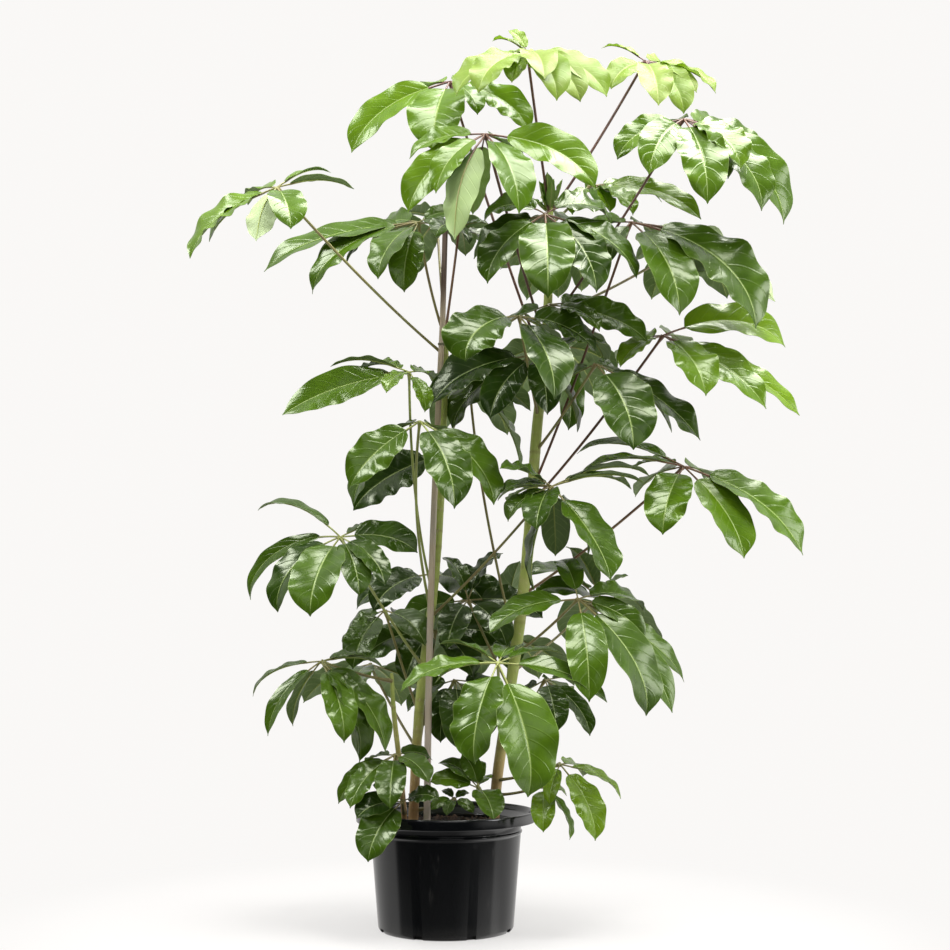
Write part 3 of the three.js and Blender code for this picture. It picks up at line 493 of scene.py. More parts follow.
def grow(name, start, tree, **inputs):
    """A piece that a Geometry Nodes tree makes from a starting mesh."""
    thing = add(name, start)
    modifier = thing.modifiers.new("grow", "NODES")
    modifier.node_group = tree
    for item in tree.interface.items_tree:
        if item.in_out == "INPUT" and item.name in inputs:
            modifier[item.identifier] = inputs[item.name]
    return plain_mesh(thing)


def dress(piece, slot, *nodes):
    """Says what a finished piece rides on, and hides the nodes that it stands for; slot, the finish
    that it takes, is not used.
    """
    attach(piece, BODY)
    if nodes:
        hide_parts(*nodes)


def mesh_of(name, points, faces, edges=(), **attributes):
    """A mesh from points in millimetres, with a number for each point in each attribute."""
    made = bpy.data.meshes.new(name)
    made.from_pydata((np.asarray(points) * MM).tolist(), list(edges), list(faces))
    for key, values in attributes.items():
        layer = made.attributes.new(key, "FLOAT", "POINT")
        layer.data.foreach_set("value", np.asarray(values, np.float32))
    made.validate()
    made.update()
    return made


def paths_mesh(name, paths):
    """Chains of edges. Each path is its points, its thickness at each, and more attributes."""
    points = np.concatenate([path["points"] for path in paths])
    edges = []
    start = 0
    for path in paths:
        count = len(path["points"])
        edges += [(start + i, start + i + 1) for i in range(count - 1)]
        start += count
    keys = [key for key in paths[0] if key != "points"]
    values = {key: np.concatenate([path[key] for path in paths]) for key in keys}
    values["thick"] = values["thick"] * MM
    return mesh_of(name, points, [], edges, **values)


def soft_edges(mesh, degrees):
    """Shades a mesh smooth, apart from edges sharper than so many degrees."""
    mesh.shade_smooth()
    mesh.set_sharp_from_angle(angle=math.radians(degrees))
    return mesh


def spoke(turn):
    """A level direction, at an angle in radians."""
    return np.array([math.cos(turn), math.sin(turn), 0])


# ---- lines that the solids follow ---------------------------------------------------------
def unit(vectors):
    return vectors / np.linalg.norm(vectors, axis=-1, keepdims=True)


def bezier(control, t):
    """Points and directions of a Bezier curve at each t."""
    control = np.asarray(control, float)
    t = np.asarray(t, float)[:, None]
    degree = len(control) - 1

    def at(points, n):
        return sum(math.comb(n, k) * (1 - t) ** (n - k) * t ** k * points[k]
                   for k in range(n + 1))

    return at(control, degree), unit(at(degree * np.diff(control, axis=0), degree - 1))


def stem_line(name, shares):
    """Points of a stem's middle line, and its radius, at shares of the way along its knots."""
    knots = np.array(STEMS[name], float)
    padded = np.concatenate([[2 * knots[0] - knots[1]], knots, [2 * knots[-1] - knots[-2]]])
    last = len(knots) - 1
    low = np.minimum((shares * last).astype(int), last - 1)
    t = (shares * last - low)[:, None]
    before, start, end, after = (padded[low + k, :3] for k in range(4))
    out, into = (end - before) / 2, (after - start) / 2
    points = (start * (2 * t**3 - 3 * t**2 + 1) + out * (t**3 - 2 * t**2 + t)
              + end * (3 * t**2 - 2 * t**3) + into * (t**3 - t**2))
    radii = knots[low, 3] * (1 - t[:, 0]) + knots[low + 1, 3] * t[:, 0]
    return points, radii


def stem_point(name, height):
    """The point on a stem's middle line at a height."""
    points, _ = stem_line(name, np.linspace(0, 1, 800))
    return points[np.argmin(abs(points[:, 2] - height))]


def leaflet_line(hub, tip, bend):
    """Control points of a leaflet's middle line, the level direction across it, and its length."""
    length = np.linalg.norm(tip)
    outward = unit(np.array([tip[0], tip[1], 0.0]))
    rise = math.degrees(math.asin(tip[2] / length))
    bend = min(bend, (rise - LEAF["steepest"]) / (1 - LEAF["lead"]))

    def heading(degrees):
        turn = math.radians(degrees)
        return outward * math.cos(turn) + np.array([0, 0, math.sin(turn)])

    reach = LEAF["handle"] * length
    leaving = hub + reach * heading(rise + LEAF["lead"] * bend)
    arriving = hub + tip - reach * heading(rise - (1 - LEAF["lead"]) * bend)
    return (hub, leaving, arriving, hub + tip), np.array([-outward[1], outward[0], 0]), length


def turned(vector, axes, angles):
    """One vector turned about each axis by each angle, in radians."""
    cos, sin = np.cos(angles)[:, None], np.sin(angles)[:, None]
    along = (axes @ vector)[:, None]
    return vector * cos + np.cross(axes, vector) * sin + axes * along * (1 - cos)


def leaflet_places(look, t):
    """Middle points of a leaflet, with the directions to its left and up, at each t."""
    middle, along = bezier(look["control"], t)
    roll = math.radians(look["roll"]) * np.minimum(1, t / LEAF["stalk"])
    side = turned(look["across"], along, roll)
    return middle, side, np.cross(along, side)


# ---- leaflets -----------------------------------------------------------------------------
STATIONS = np.linspace(0, 1, 37)
HALF_COLUMNS = np.array([0, 0.09, 0.24, 0.44, 0.66, 0.86, 1])
COLUMNS = np.concatenate([-HALF_COLUMNS[:0:-1], HALF_COLUMNS])


def outline(share):
    """Half width of a blade along its length: oblong, with a round base and a short drawn-out tip."""
    return np.sin(np.pi * share**0.92) ** (0.46 + 0.85 * share**13)


def curl_at(look, share):
    """How far down the end of a leaflet curls, at each share of its blade."""
    return look["curl"] * look["length"] * np.maximum(0, share - LEAF["curl_from"]) ** 2


def blade(look):
    """One leaflet as a closed thin blade: points, faces, places along and across, and materials."""
    rng = look["rng"]
    width = look["ratio"] * look["length"] * (1 - LEAF["stalk"])
    middle, side, up = leaflet_places(look, LEAF["stalk"] + (1 - LEAF["stalk"]) * STATIONS)
    root = LEAF["root"] / 2 * (1 - STATIONS) + LEAF["tip"]
    half = np.maximum(outline(STATIONS) * width / 2, root)
    share, v = STATIONS[:, None], COLUMNS[None, :]
    off = abs(v)
    # the blade tilts from side to side along its way, in step with its solid
    knots = np.interp(STATIONS, (0, 0.2, 0.5, 0.82, 1), (0, 1, 2, 3, 3.6))
    swell = np.sin(np.pi * STATIONS) ** 0.6
    twist = LEAF["wave"] * width * np.sin(look["phase"] + 2.6 * knots) * swell
    # each margin has its own waves
    ripple = np.zeros_like(share * v)
    for sign in (-1, 1):
        count, start = rng.uniform(2.6, 4.6), rng.uniform(0, math.tau)
        beat = np.sin(math.tau * count * share + start) + 0.2 * np.sin(15 * share + 3 * start)
        ripple += np.where(v * sign > 0, beat, 0)
    ripple *= look["ripple"] * width * off**2.5 * swell[:, None]
    # the blade swells up between its side veins, and folds up from the midrib
    lean = LEAF["vein_lean"][0] * off + LEAF["vein_lean"][1] * off**2
    beat = LEAF["veins"] * (share - lean) + np.where(v < 0, 0.5, 0)
    puffed = np.sin(np.pi * beat) ** 2 * np.minimum(1, off * 4) * (1 - off**2)
    quilt = LEAF["quilt"] * puffed * np.minimum(1, half / 28)[:, None]
    fold = LEAF["keel"] * half[:, None] * (1.5 * off - 0.5 * off**2) * look["fold"]
    lift = fold + twist[:, None] * v * off**0.3 + ripple + quilt
    top = (middle[:, None] + side[:, None] * (half[:, None] * v)[..., None]
           + up[:, None] * (lift - curl_at(look, STATIONS)[:, None])[..., None])
    under = top - up[:, None] * LEAF["thick"]
    places = np.stack(np.broadcast_arrays(share, (v + 1) / 2), axis=-1).reshape(-1, 2)
    index = np.arange(lift.size).reshape(lift.shape)
    below = index + index.size
    quads = np.stack([index[:-1, :-1], index[1:, :-1], index[1:, 1:], index[:-1, 1:]],
                     axis=-1).reshape(-1, 4)
    rim, drop = (np.concatenate([grid[:-1, 0], grid[-1, :-1], grid[:0:-1, -1], grid[0, :0:-1]])
                 for grid in (index, below))
    ring = np.stack([rim, drop, np.roll(drop, -1), np.roll(rim, -1)], axis=-1)
    faces = [quads[:, ::-1], quads + index.size, ring]
    finish = np.repeat([0, 1, 0], [len(part) for part in faces])
    return (np.concatenate([top.reshape(-1, 3), under.reshape(-1, 3)]), np.concatenate(faces),
            np.concatenate([places, places]), finish)


def rib_path(look):
    """The leaflet's own little stalk, and the midrib that runs on under the blade to its tip."""
    t = np.concatenate([np.linspace(0, LEAF["stalk"], 5), np.linspace(0.24, 0.96, 9)])
    middle, _, up = leaflet_places(look, t)
    share = np.maximum(0, (t - LEAF["stalk"]) / (1 - LEAF["stalk"]))
    thick = np.where(t < LEAF["stalk"], RIB["stalk"], RIB["foot"] * (1 - share) ** 0.8 + RIB["tip"])
    thick = thick * (0.55 + 0.45 * look["length"] / RIB["usual_length"])
    sunk = np.minimum(1, t / LEAF["stalk"]) * (LEAF["thick"] * 0.6 + thick * 0.75)
    points = middle - up * (sunk + curl_at(look, share))[:, None]
    return {"points": points, "thick": thick, "along": share, "tone": np.full(len(t), look["tone"])}


def stalk_path(frond):
    """A frond's long stalk, thick at its foot and a little swollen where the leaflets meet."""
    foot, hub = stem_point(frond.stem, frond.at), np.array(frond.hub, float)
    length = np.linalg.norm(hub - foot)
    middle = (np.array(frond.elbow, float) if frond.elbow
              else foot * 0.58 + hub * 0.42 - np.array([0, 0, STALK["sag"] * length]))
    t = np.concatenate([[0, 0.012, 0.03, 0.06], np.linspace(0.1, 0.94, 18), [0.97, 0.99, 1]])
    points, _ = bezier((foot, middle, hub), t)
    flare = (STALK["flare"] - STALK["radius"]) * np.exp(-t * length / STALK["flare_length"])
    swollen = ((STALK["hub"] - STALK["radius"])
               * np.exp(-((1 - t) * length / STALK["hub_length"]) ** 2))
    return {"points": points, "thick": STALK["radius"] + flare + swollen, "along": t - 1,
            "tone": np.full(len(t), frond.tone)}


def leaflet_look(hub, tip, face, ratio, bend, order, place, tint, tone):
    """What shapes and colours one leaflet. Its place in the plant varies it a little."""
    rng = random.Random(1000 * order + place)
    control, across, length = leaflet_line(hub, tip, bend)
    sway = LEAF["sway"] * math.sin(2.4 * place + 1.3 * order)
    return {
        "control": control, "across": across, "length": length, "ratio": ratio,
        "roll": face * math.cos(math.atan2(tip[1], tip[0])) + sway, "phase": 1.7 * place + order,
        "fold": rng.uniform(0.75, 1.1), "curl": rng.uniform(-0.1, 0.5),
        "ripple": rng.uniform(0.02, 0.065), "shade": rng.uniform(0, 0.5) + tint, "tone": tone,
        "rng": rng,
    }


def frond_looks(frond, order):
    """What shapes and colours each leaflet of a frond."""
    usual = (frond.face, frond.width, LEAF["bend"])
    looks = []
    for place, (x, y, z, *own) in enumerate(frond.leaflets):
        look = leaflet_look(np.array(frond.hub, float), np.array([x, y, z], float),
                            *own, *usual[len(own):], order, place, frond.tint, frond.tone)
        if (frond.name, place) in TURNED_OVER:
            look["roll"] += 180
            look["shade"] += 1
        looks.append(look)
    return looks


def leaflets_mesh(name, looks):
    """All leaflets of a frond as one mesh, with each one's shade and its places as a UV map."""
    blades = [blade(look) for look in looks]
    points, faces, places, finish = (list(parts) for parts in zip(*blades))
    starts = np.cumsum([0] + [len(part) for part in points[:-1]])
    shade = [np.full(len(part), look["shade"]) for part, look in zip(points, looks)]
    faces = np.concatenate([part + start for part, start in zip(faces, starts)])
    made = mesh_of(name, np.concatenate(points), faces.tolist(), shade=np.concatenate(shade))
    spots = np.concatenate(places)
    made.uv_layers.new(name="UVMap").data.foreach_set("uv", spots[faces.reshape(-1)].ravel())
    made.polygons.foreach_set("material_index", np.concatenate(finish).astype(np.int32))
    return soft_edges(made, 55)


# ---- stems, stake and ties ----------------------------------------------------------------
def stem_path(name):
    """A stem with a raised ring at each frond and at the scars of the leaves that it has shed."""
    points, thick = stem_line(name, np.linspace(0, 1, 260))
    height = points[:, 2]
    rings = [frond.at for frond in FRONDS if frond.stem == name]
    rng = random.Random(len(name))
    level = SOIL["level"] + SCAR["first"]
    while level < height[-1] - SCAR["below_top"]:
        if all(abs(level - ring) > SCAR["apart"] for ring in rings):
            rings.append(level)
        level += SCAR["spacing"] * rng.uniform(0.4, 1.7)
    scar = np.zeros_like(height)
    for ring in rings:
        depth = rng.uniform(0.25, 1)
        scar = np.maximum(scar, depth * np.exp(-((height - ring) / SCAR["height"]) ** 2))
    knobs = np.array([noise.noise(Vector((0, 0, z * 0.035))) for z in height])
    thick = thick * (1 + 0.05 * knobs) + SCAR["lift"] * scar
    thick[-6:] *= np.linspace(1, 0.55, 6) ** 0.5
    return {"points": points, "thick": thick, "scar": scar}


def stake_point(share):
    """The stake's middle at a share of its way up, bowed a little to the left."""
    foot, top = np.array(STAKE["foot"], float), np.array(STAKE["top"], float)
    bow = STAKE["bow"] * math.sin(math.pi * min(1, share / STAKE["bow_ends"]))
    return foot * (1 - share) + top * share + np.array([bow, 0, 0])


def stake_section(share):
    """The directions of the stake's corners, how far out they are, and its width."""
    width = STAKE["foot_width"] * (1 - share) + STAKE["top_width"] * share
    turns = [math.radians(STAKE["turn"] + 90 * k) for k in range(4)]
    return turns, width / math.sqrt(2), width


def stake_mesh():
    """A square split stake, slightly uneven, with worn edges."""
    rings = STAKE["rings"]
    points = []
    for share in np.linspace(0, 1, rings):
        turns, reach, width = stake_section(share)
        for k, turn in enumerate(turns):
            for side in (-1, 1):
                worn = spoke(turn + side * math.radians(135)) * width * STAKE["bevel"]
                dent = 1 + 0.01 * noise.noise(Vector((k * 9.1 + side, 3, share * 22)))
                points.append(stake_point(share) + (spoke(turn) * reach + worn) * dent)
    faces = []
    for ring in range(rings - 1):
        for k in range(8):
            a, b = ring * 8 + k, ring * 8 + (k + 1) % 8
            faces.append((a, b, b + 8, a + 8))
    faces.append(tuple(range(7, -1, -1)))
    faces.append(tuple((rings - 1) * 8 + k for k in range(8)))
    return soft_edges(mesh_of("stake wood", points, faces), 25)


def hull(points):
    """The outline round flat points, anticlockwise."""
    points = sorted(map(tuple, points))

    def chain(run):
        line = []
        for point in run:
            while len(line) > 1 and np.cross(np.subtract(line[-1], line[-2]),
                                             np.subtract(point, line[-1])) <= 0:
                line.pop()
            line.append(point)
        return line[:-1]

    return np.array(chain(points) + chain(points[::-1]))


def tie_paths(height, round_stem):
    """Three turns of twine drawn tight round the left stem and the stake."""
    share = (height - STAKE["foot"][2]) / (STAKE["top"][2] - STAKE["foot"][2])
    turns, reach, _ = stake_section(share)
    around = [stem_point("left", height) + round_stem * spoke(turn)
              for turn in np.linspace(0, math.tau, 24, endpoint=False)]
    around += [stake_point(share) + reach * spoke(turn) for turn in turns]
    ring = hull([point[:2] for point in around])
    off = ring - ring.mean(axis=0)
    ring = ring + off * TWINE["clear"] / np.linalg.norm(off, axis=1)[:, None]
    loop = np.concatenate([ring, ring[:2]])
    paths = []
    for turn in (-1, 0, 1):
        wander = TWINE["wander"] * np.sin(np.linspace(0, 9, len(loop)) + turn)
        points = np.column_stack([loop, height + TWINE["pitch"] * turn + wander])
        paths.append({"points": points, "thick": np.full(len(points), TWINE["radius"])})
    return paths


# ---- pot and soil -------------------------------------------------------------------------
def rounded(profile):
    """A profile's corners turned into arcs: each corner is its radius, its height and its round."""
    points = []
    count = len(profile)
    for i, (r, z, turn) in enumerate(profile):
        here = np.array([r, z], float)
        if not turn:
            points.append(here)
            continue
        start, end = (here + unit(away) * min(turn, np.linalg.norm(away) / 2) for away in
                      (np.array(profile[(i + k) % count][:2], float) - here for k in (-1, 1)))
        for t in np.linspace(0, 1, 5):
            points.append((1 - t) ** 2 * start + 2 * t * (1 - t) * here + t**2 * end)
    return points


def turned_mesh(name, profile, segments):
    """A closed profile turned about the Z axis. Points on the axis become poles."""
    points, rings, faces = [], [], []
    for r, z in profile:
        if r < 1e-6:
            rings.append([len(points)] * segments)
            points.append((0, 0, z))
            continue
        rings.append(list(range(len(points), len(points) + segments)))
        points += [r * spoke(math.tau * k / segments) + (0, 0, z) for k in range(segments)]
    for lower, upper in zip(rings, rings[1:]):
        for k in range(segments):
            j = (k + 1) % segments
            faces.append(tuple(dict.fromkeys([lower[k], lower[j], upper[j], upper[k]])))
    return mesh_of(name, points, faces)


def pot_profile():
    """The pot's wall in section: out under it, up its outside, over the rim and down its inside."""
    top, rim, skirt, collar = POT["height"], POT["rim"], POT["skirt"], POT["collar"]
    neck, ridge, base, wall = POT["neck"], POT["ridge"], POT["base"], POT["wall"]
    lip = rim - wall
    return rounded([
        (0, 3, 0), (base - 22, 3, 3), (base - 18, 0, 2), (base - 2, 0, 2.5), (base + 0.5, 5, 2),
        (neck - 0.5, ridge - 3, 1.5), (neck + 1.6, ridge, 0.8), (neck + 1.6, ridge + 2, 0.8),
        (neck - 0.5, ridge + 4, 1.5), (neck + 1, skirt - 3, 3), (collar + 1, skirt + 7, 3),
        (lip, skirt + 9, 2), (lip, skirt, 1), (rim, skirt, 1), (rim, top - 2, 2.2),
        (rim - 2, top, 1.6), (collar + 2, top, 2.2), (collar, top - 2.5, 2),
        (collar - 2.5, skirt + 8, 3), (neck - wall, skirt - 2, 3),
        (neck - wall - 0.5, ridge - 3, 2), (base - wall, 7, 2), (base - wall - 3, 5, 2), (0, 5, 0),
    ])


def slot_blocks():
    """Blocks that cut the drain slots, through the pot's wall round its foot."""
    points, faces = [], []
    for k in range(POT["slots"]):
        out = spoke(math.tau * (k + 0.5) / POT["slots"])
        across = np.array([-out[1], out[0], 0])
        faces += [tuple(len(points) + i for i in face) for face in (
            (0, 1, 3, 2), (4, 6, 7, 5), (0, 4, 5, 1), (2, 3, 7, 6), (0, 2, 6, 4), (1, 5, 7, 3))]
        for z in (-2, POT["slot_height"]):
            for depth in (-0.5, 0.5):
                for side in (-0.5, 0.5):
                    points.append(out * (POT["base"] + depth * POT["slot_depth"])
                                  + across * side * POT["slot_width"] + (0, 0, z))
    return mesh_of("slots", points, faces)


def pot_piece():
    pot = add("pot_shell", turned_mesh("pot shell", pot_profile(), POT["segments"]))
    cutters = add("slot cutters", slot_blocks())
    cut = pot.modifiers.new("slots", "BOOLEAN")
    cut.object = cutters
    cut.solver = "EXACT"
    plain_mesh(pot)
    bpy.data.objects.remove(cutters)
    soft_edges(pot.data, 40)
    return pot


def soil_height(x, y):
    """The uneven top of the potting mix, heaped a little towards the stems."""
    far = math.hypot(x, y) / SOIL["radius"]
    lumps = (noise.noise(Vector((x, y, 0)) * 0.045) * 2.6
             + noise.noise(Vector((y, x, 5)) * 0.16) * 1.3)
    return SOIL["level"] + SOIL["heap"] * (1 - far * far) + lumps * min(1, (1.02 - far) * 9)


def soil_mesh():
    """The potting mix, from its uneven top down to the pot's floor."""
    rings, spokes = 34, 112
    around = [spoke(math.tau * k / spokes) for k in range(spokes)]
    points = [(0, 0, soil_height(0, 0))]
    for ring in range(1, rings + 1):
        for x, y, _ in (SOIL["radius"] * ring / rings * out for out in around):
            points.append((x, y, soil_height(x, y)))
    foot = len(points)
    points += [out * SOIL["foot_radius"] + (0, 0, SOIL["foot"]) for out in around]
    faces = [(0, 1 + k, 1 + (k + 1) % spokes) for k in range(spokes)]
    for ring in range(rings):
        inner = 1 + ring * spokes
        outer = inner + spokes
        for k in range(spokes):
            j = (k + 1) % spokes
            faces.append((inner + k, outer + k, outer + j, inner + j))
    faces.append(tuple(foot + k for k in reversed(range(spokes))))
    return soft_edges(mesh_of("potting mix", points, faces), 50)


def soil_top():
    """Only the top of the potting mix, for the crumbs to lie on."""
    reach, count = SOIL["radius"] - 2, 60
    steps = np.linspace(-reach, reach, count)
    points = [(x, y, soil_height(x, y) + 0.4) for y in steps for x in steps]
    faces = []
    for i in range(count - 1):
        for j in range(count - 1):
            a = i * count + j
            face = (a, a + 1, a + count + 1, a + count)
            if max(math.hypot(*points[k][:2]) for k in face) < reach:
                faces.append(face)
    return mesh_of("crumb bed", points, faces)


# ---- finishes -----------------------------------------------------------------------------
def leaf_places(tree):
    """Masks on a leaflet: how far off the midrib, its side veins, and its midrib."""
    along, across, _ = tree.parts(tree.node("ShaderNodeUVMap", {"uv_map": "UVMap"}))
    off = abs(across * 2 - 1)
    lean = off * LEAF["vein_lean"][0] + off * off * LEAF["vein_lean"][1]
    beat = (along - lean) * LEAF["veins"] + (across < 0.5) * 0.5
    near = abs(beat.maths("FRACT") - 0.5) * 2
    vein = tree.step(near, 0.82, 0.98) * tree.step(off, 1.0, 0.7)
    return off, vein, 1 - tree.step(off, 0.012, 0.045)


def leaf_top(name, greens, rib_colour, gloss, through, glow):
    """Glossy upper side: thin pale midrib, faint side veins, mottled green, waxy shine."""
    tree = Finish(name)
    off, vein, rib = leaf_places(tree)
    mottle = tree.speckle(26, 3, 0.55)
    fine = tree.speckle(160, 3, 0.6)
    # the shade attribute carries each frond's tint: on the fronds named shade its deeper green is
    # painted shade, on foot_right its lighter green a painted sheen
    freshness_and_painted_light = tree.attribute("shade") * 0.6 + mottle * 0.5 + fine * 0.1 - 0.15
    green = tree.ramp(freshness_and_painted_light, *zip((0, 0.5, 1), greens))
    for share in (vein * 0.05, tree.step(off, 0.965, 1.0) * 0.3, rib * 0.5):
        green = tree.blend(green, rib_colour, share)
    skin = tree.surface(green, mottle * 0.18 + rib * 0.1 + gloss, rib * 0.25 - vein * 0.3 + mottle,
                        0.0012, 0.6, IOR=1.46, Specular_Tint=(0.92, 1, 0.75))
    return tree.ends_in(tree.lit_through(skin, through, glow))


def leaf_under(name, pale, deep, rib_colour, through, glow):
    """Matt underside: pale grey green, with the midrib and veins standing out."""
    tree = Finish(name)
    _, vein, rib = leaf_places(tree)
    mottle = tree.speckle(20, 4, 0.6)
    green = tree.blend(deep, pale, tree.step(tree.attribute("shade"), 0.75, 1.2) * 0.75 + 0.25)
    green = tree.blend(green, deep, mottle * 0.4)
    for share in (vein * 0.35, rib * 0.7):
        green = tree.blend(green, rib_colour, share)
    skin = tree.surface(green, mottle * 0.15 + 0.48, vein + rib, 0.0004, 0.7)
    return tree.ends_in(tree.lit_through(skin, through, glow))


def stalk_skin():
    """Smooth skin of leaf stalks: yellow green to purple brown, paler towards the leaflets."""
    tree = Finish("stalk skin")
    flecks = tree.speckle(500, 2, 0.6, (1, 1, 0.25))
    patches = tree.speckle(26, 3)
    leaflet = tree.step(tree.attribute("along"), -0.02, 0.3)
    purple = tree.attribute("tone") + patches * 0.5 - 0.25 - leaflet * 0.6
    colour = tree.ramp(purple.maths("MAXIMUM", 0), (0, (0.26, 0.33, 0.06)),
                       (0.35, (0.19, 0.19, 0.05)), (0.7, (0.14, 0.062, 0.028)),
                       (1, (0.085, 0.025, 0.020)))
    colour = tree.blend(colour, (0.30, 0.28, 0.16), flecks * 0.14)
    return tree.ends_in(tree.surface(colour, patches * 0.15 + 0.34, flecks, 0.0002, 0.5))


def stem_bark():
    """Young cane bark: orange brown and corky at the foot, green above, with ringed scars."""
    tree = Finish("cane bark")
    scar = tree.attribute("scar")
    patches = tree.speckle(22, 5, 0.65)
    streaks = tree.speckle(120, 4, 0.6, (1, 1, 0.12))
    pores = tree.step(tree.speckle(260, 2, 0.5, (1, 1, 0.5)), 0.62, 0.7)
    old = 1 - tree.step(tree.height() + patches * 0.12, 0.25, 0.46)
    green = tree.blend((0.17, 0.25, 0.03), (0.48, 0.53, 0.14), streaks)
    green = tree.blend(green, (0.46, 0.44, 0.17), tree.step(patches, 0.5, 0.75) * 0.6)
    brown = tree.blend((0.30, 0.15, 0.055), (0.52, 0.34, 0.16), streaks)
    colour = tree.blend(green, brown, old)
    colour = tree.blend(colour, (0.17, 0.12, 0.05), scar * patches * 0.9)
    colour = tree.blend(colour, (0.50, 0.42, 0.26), pores * 0.5)
    return tree.ends_in(tree.surface(colour, streaks * 0.2 + 0.45,
                                     streaks * 0.6 + pores * 0.5 - scar * 0.3, 0.0006, 0.8))


def stake_wood():
    """Weathered hardwood: grey brown with long grain, bleached low down, dark at the top."""
    tree = Finish("stake wood")
    height = tree.height()
    grain = tree.speckle(420, 5, 0.65, (1, 1, 0.035))
    cloud = tree.speckle(12, 3)
    wood = tree.blend((0.30, 0.22, 0.13), (0.56, 0.46, 0.31), grain)
    grey = tree.blend((0.27, 0.23, 0.18), (0.60, 0.55, 0.46), grain)
    dark = tree.blend((0.05, 0.024, 0.016), (0.11, 0.062, 0.045), grain)
    colour = tree.blend(wood, grey, tree.step(cloud, 0.35, 0.65) * 0.7)
    low = 1 - tree.step(height, 0.25, 0.42)
    colour = tree.blend(colour, (0.68, 0.58, 0.50), low * 0.65)
    # darker from about 1.03 m up to the top
    dark_top = tree.step(height + cloud * 0.04, 1.03, 1.1)
    colour = tree.blend(colour, dark, dark_top * 0.92)
    return tree.ends_in(tree.surface(colour, grain * 0.2 + 0.6, grain, 0.0008, 0.8))


def pot_plastic(colour):
    """Moulded black plastic, semi gloss, with a fine mould texture and faint scuffs."""
    tree = Finish("pot plastic")
    grain = tree.speckle(900, 2, 0.5)
    cloud = tree.speckle(16, 4, 0.6)
    scuff = tree.step(tree.speckle(70, 4, 0.7, (1, 1, 0.3)), 0.6, 0.75)
    dust = (1 - tree.step(tree.height(), 0.0, 0.03)) * cloud
    shade = tree.blend(colour, (0.05, 0.048, 0.045), scuff * 0.25 + dust * 0.5)
    return tree.ends_in(tree.surface(shade, cloud * 0.06 + scuff * 0.12 + 0.11,
                                     grain + scuff * 0.2, 0.0001, 0.15, IOR=1.5))


def potting_mix(name, dark, light, scale):
    """Peat or bark: rough and dark, with lighter lumps and a few pale flecks."""
    tree = Finish(name)
    lumps = tree.speckle(scale, 5, 0.7)
    flecks = tree.step(tree.speckle(scale * 4, 2), 0.62, 0.7)
    colour = tree.blend(dark, light, lumps)
    colour = tree.blend(colour, (0.20, 0.14, 0.08), flecks * 0.35)
    return tree.ends_in(tree.surface(colour, lumps * 0.1 + 0.85, lumps, 0.003, 1))


def twine():
    """Dull olive twine of fine strands."""
    tree = Finish("twine")
    strands = tree.speckle(900, 3, 0.6)
    colour = tree.blend((0.09, 0.085, 0.05), (0.20, 0.19, 0.11), strands)
    return tree.ends_in(tree.surface(colour, strands * 0.1 + 0.7, strands, 0.0004, 1))


def leaf_finishes(look):
    """The upper and lower finish of grown, of light green and of lime green leaflets."""
    rib, pale_rib, new_green = look.rib_colour, (0.62, 0.72, 0.28), (0.40, 0.465, 0.25)
    return [
        (leaf_top("grown leaf", (look.deep_green, look.fresh_green, look.light_green), rib,
                  0.13, 0.1, (0.20, 0.36, 0.01)),
         leaf_under("grown underside", look.underside, look.fresh_green, rib,
                    0.2, (0.26, 0.44, 0.02))),
        (leaf_top("light leaf", (look.fresh_green, look.light_green, look.lime_green), rib,
                  0.13, 0.22, (0.34, 0.56, 0.02)),
         leaf_under("light underside", look.underside, look.light_green, rib,
                    0.28, (0.30, 0.56, 0.03))),
        (leaf_top("new leaf", (look.light_green, look.lime_green, new_green), pale_rib,
                  0.3, 0.35, (0.42, 0.54, 0.18)),
         leaf_under("new underside", look.lime_green, look.light_green, pale_rib,
                    0.42, (0.62, 0.86, 0.08))),
    ]


# ---- settings that a user would change -----------------------------------------------------
def colour_setting(name, description, default):
    return bpy.props.FloatVectorProperty(name=name, description=description, default=default,
                                         size=3, min=0, max=1, subtype="COLOR")


class PlantSettings(bpy.types.PropertyGroup):
    """Sizes and colours of the plant and its pot."""
    pot_colour: colour_setting("Pot", "Colour of the nursery pot's plastic",
                               (0.0028, 0.0033, 0.004))
    deep_green: colour_setting("Deep green", "The darkest green of a grown leaflet",
                               (0.011, 0.028, 0.002))
    fresh_green: colour_setting("Fresh green", "The lightest green of a grown leaflet",
                                (0.056, 0.114, 0.004))
    light_green: colour_setting("Light green", "Leaflets that are nearly grown",
                                (0.135, 0.235, 0.007))
    lime_green: colour_setting("Lime green", "Leaflets that have just opened",
                               (0.29, 0.355, 0.095))
    rib_colour: colour_setting("Midribs", "Midribs and side veins", (0.36, 0.46, 0.15))
    underside: colour_setting("Undersides", "The matt lower side of leaflets", (0.40, 0.50, 0.25))
    stalk_sides: bpy.props.IntProperty(
        name="Stalk sides", description="How many sides a leaf stalk's skin has", default=8, min=5)
    stem_sides: bpy.props.IntProperty(
        name="Stem sides", description="How many sides a cane stem's skin has", default=20, min=8)
    crumb_size: bpy.props.FloatProperty(
        name="Crumb size", description="Size of the crumbs of potting mix", default=0.0028,
        unit="LENGTH")
    crumb_density: bpy.props.FloatProperty(
        name="Crumbs", description="Crumbs on each square metre of potting mix", default=26000)
    chip_density: bpy.props.FloatProperty(
        name="Bark chips", description="Bark chips on each square metre of potting mix", default=4200)


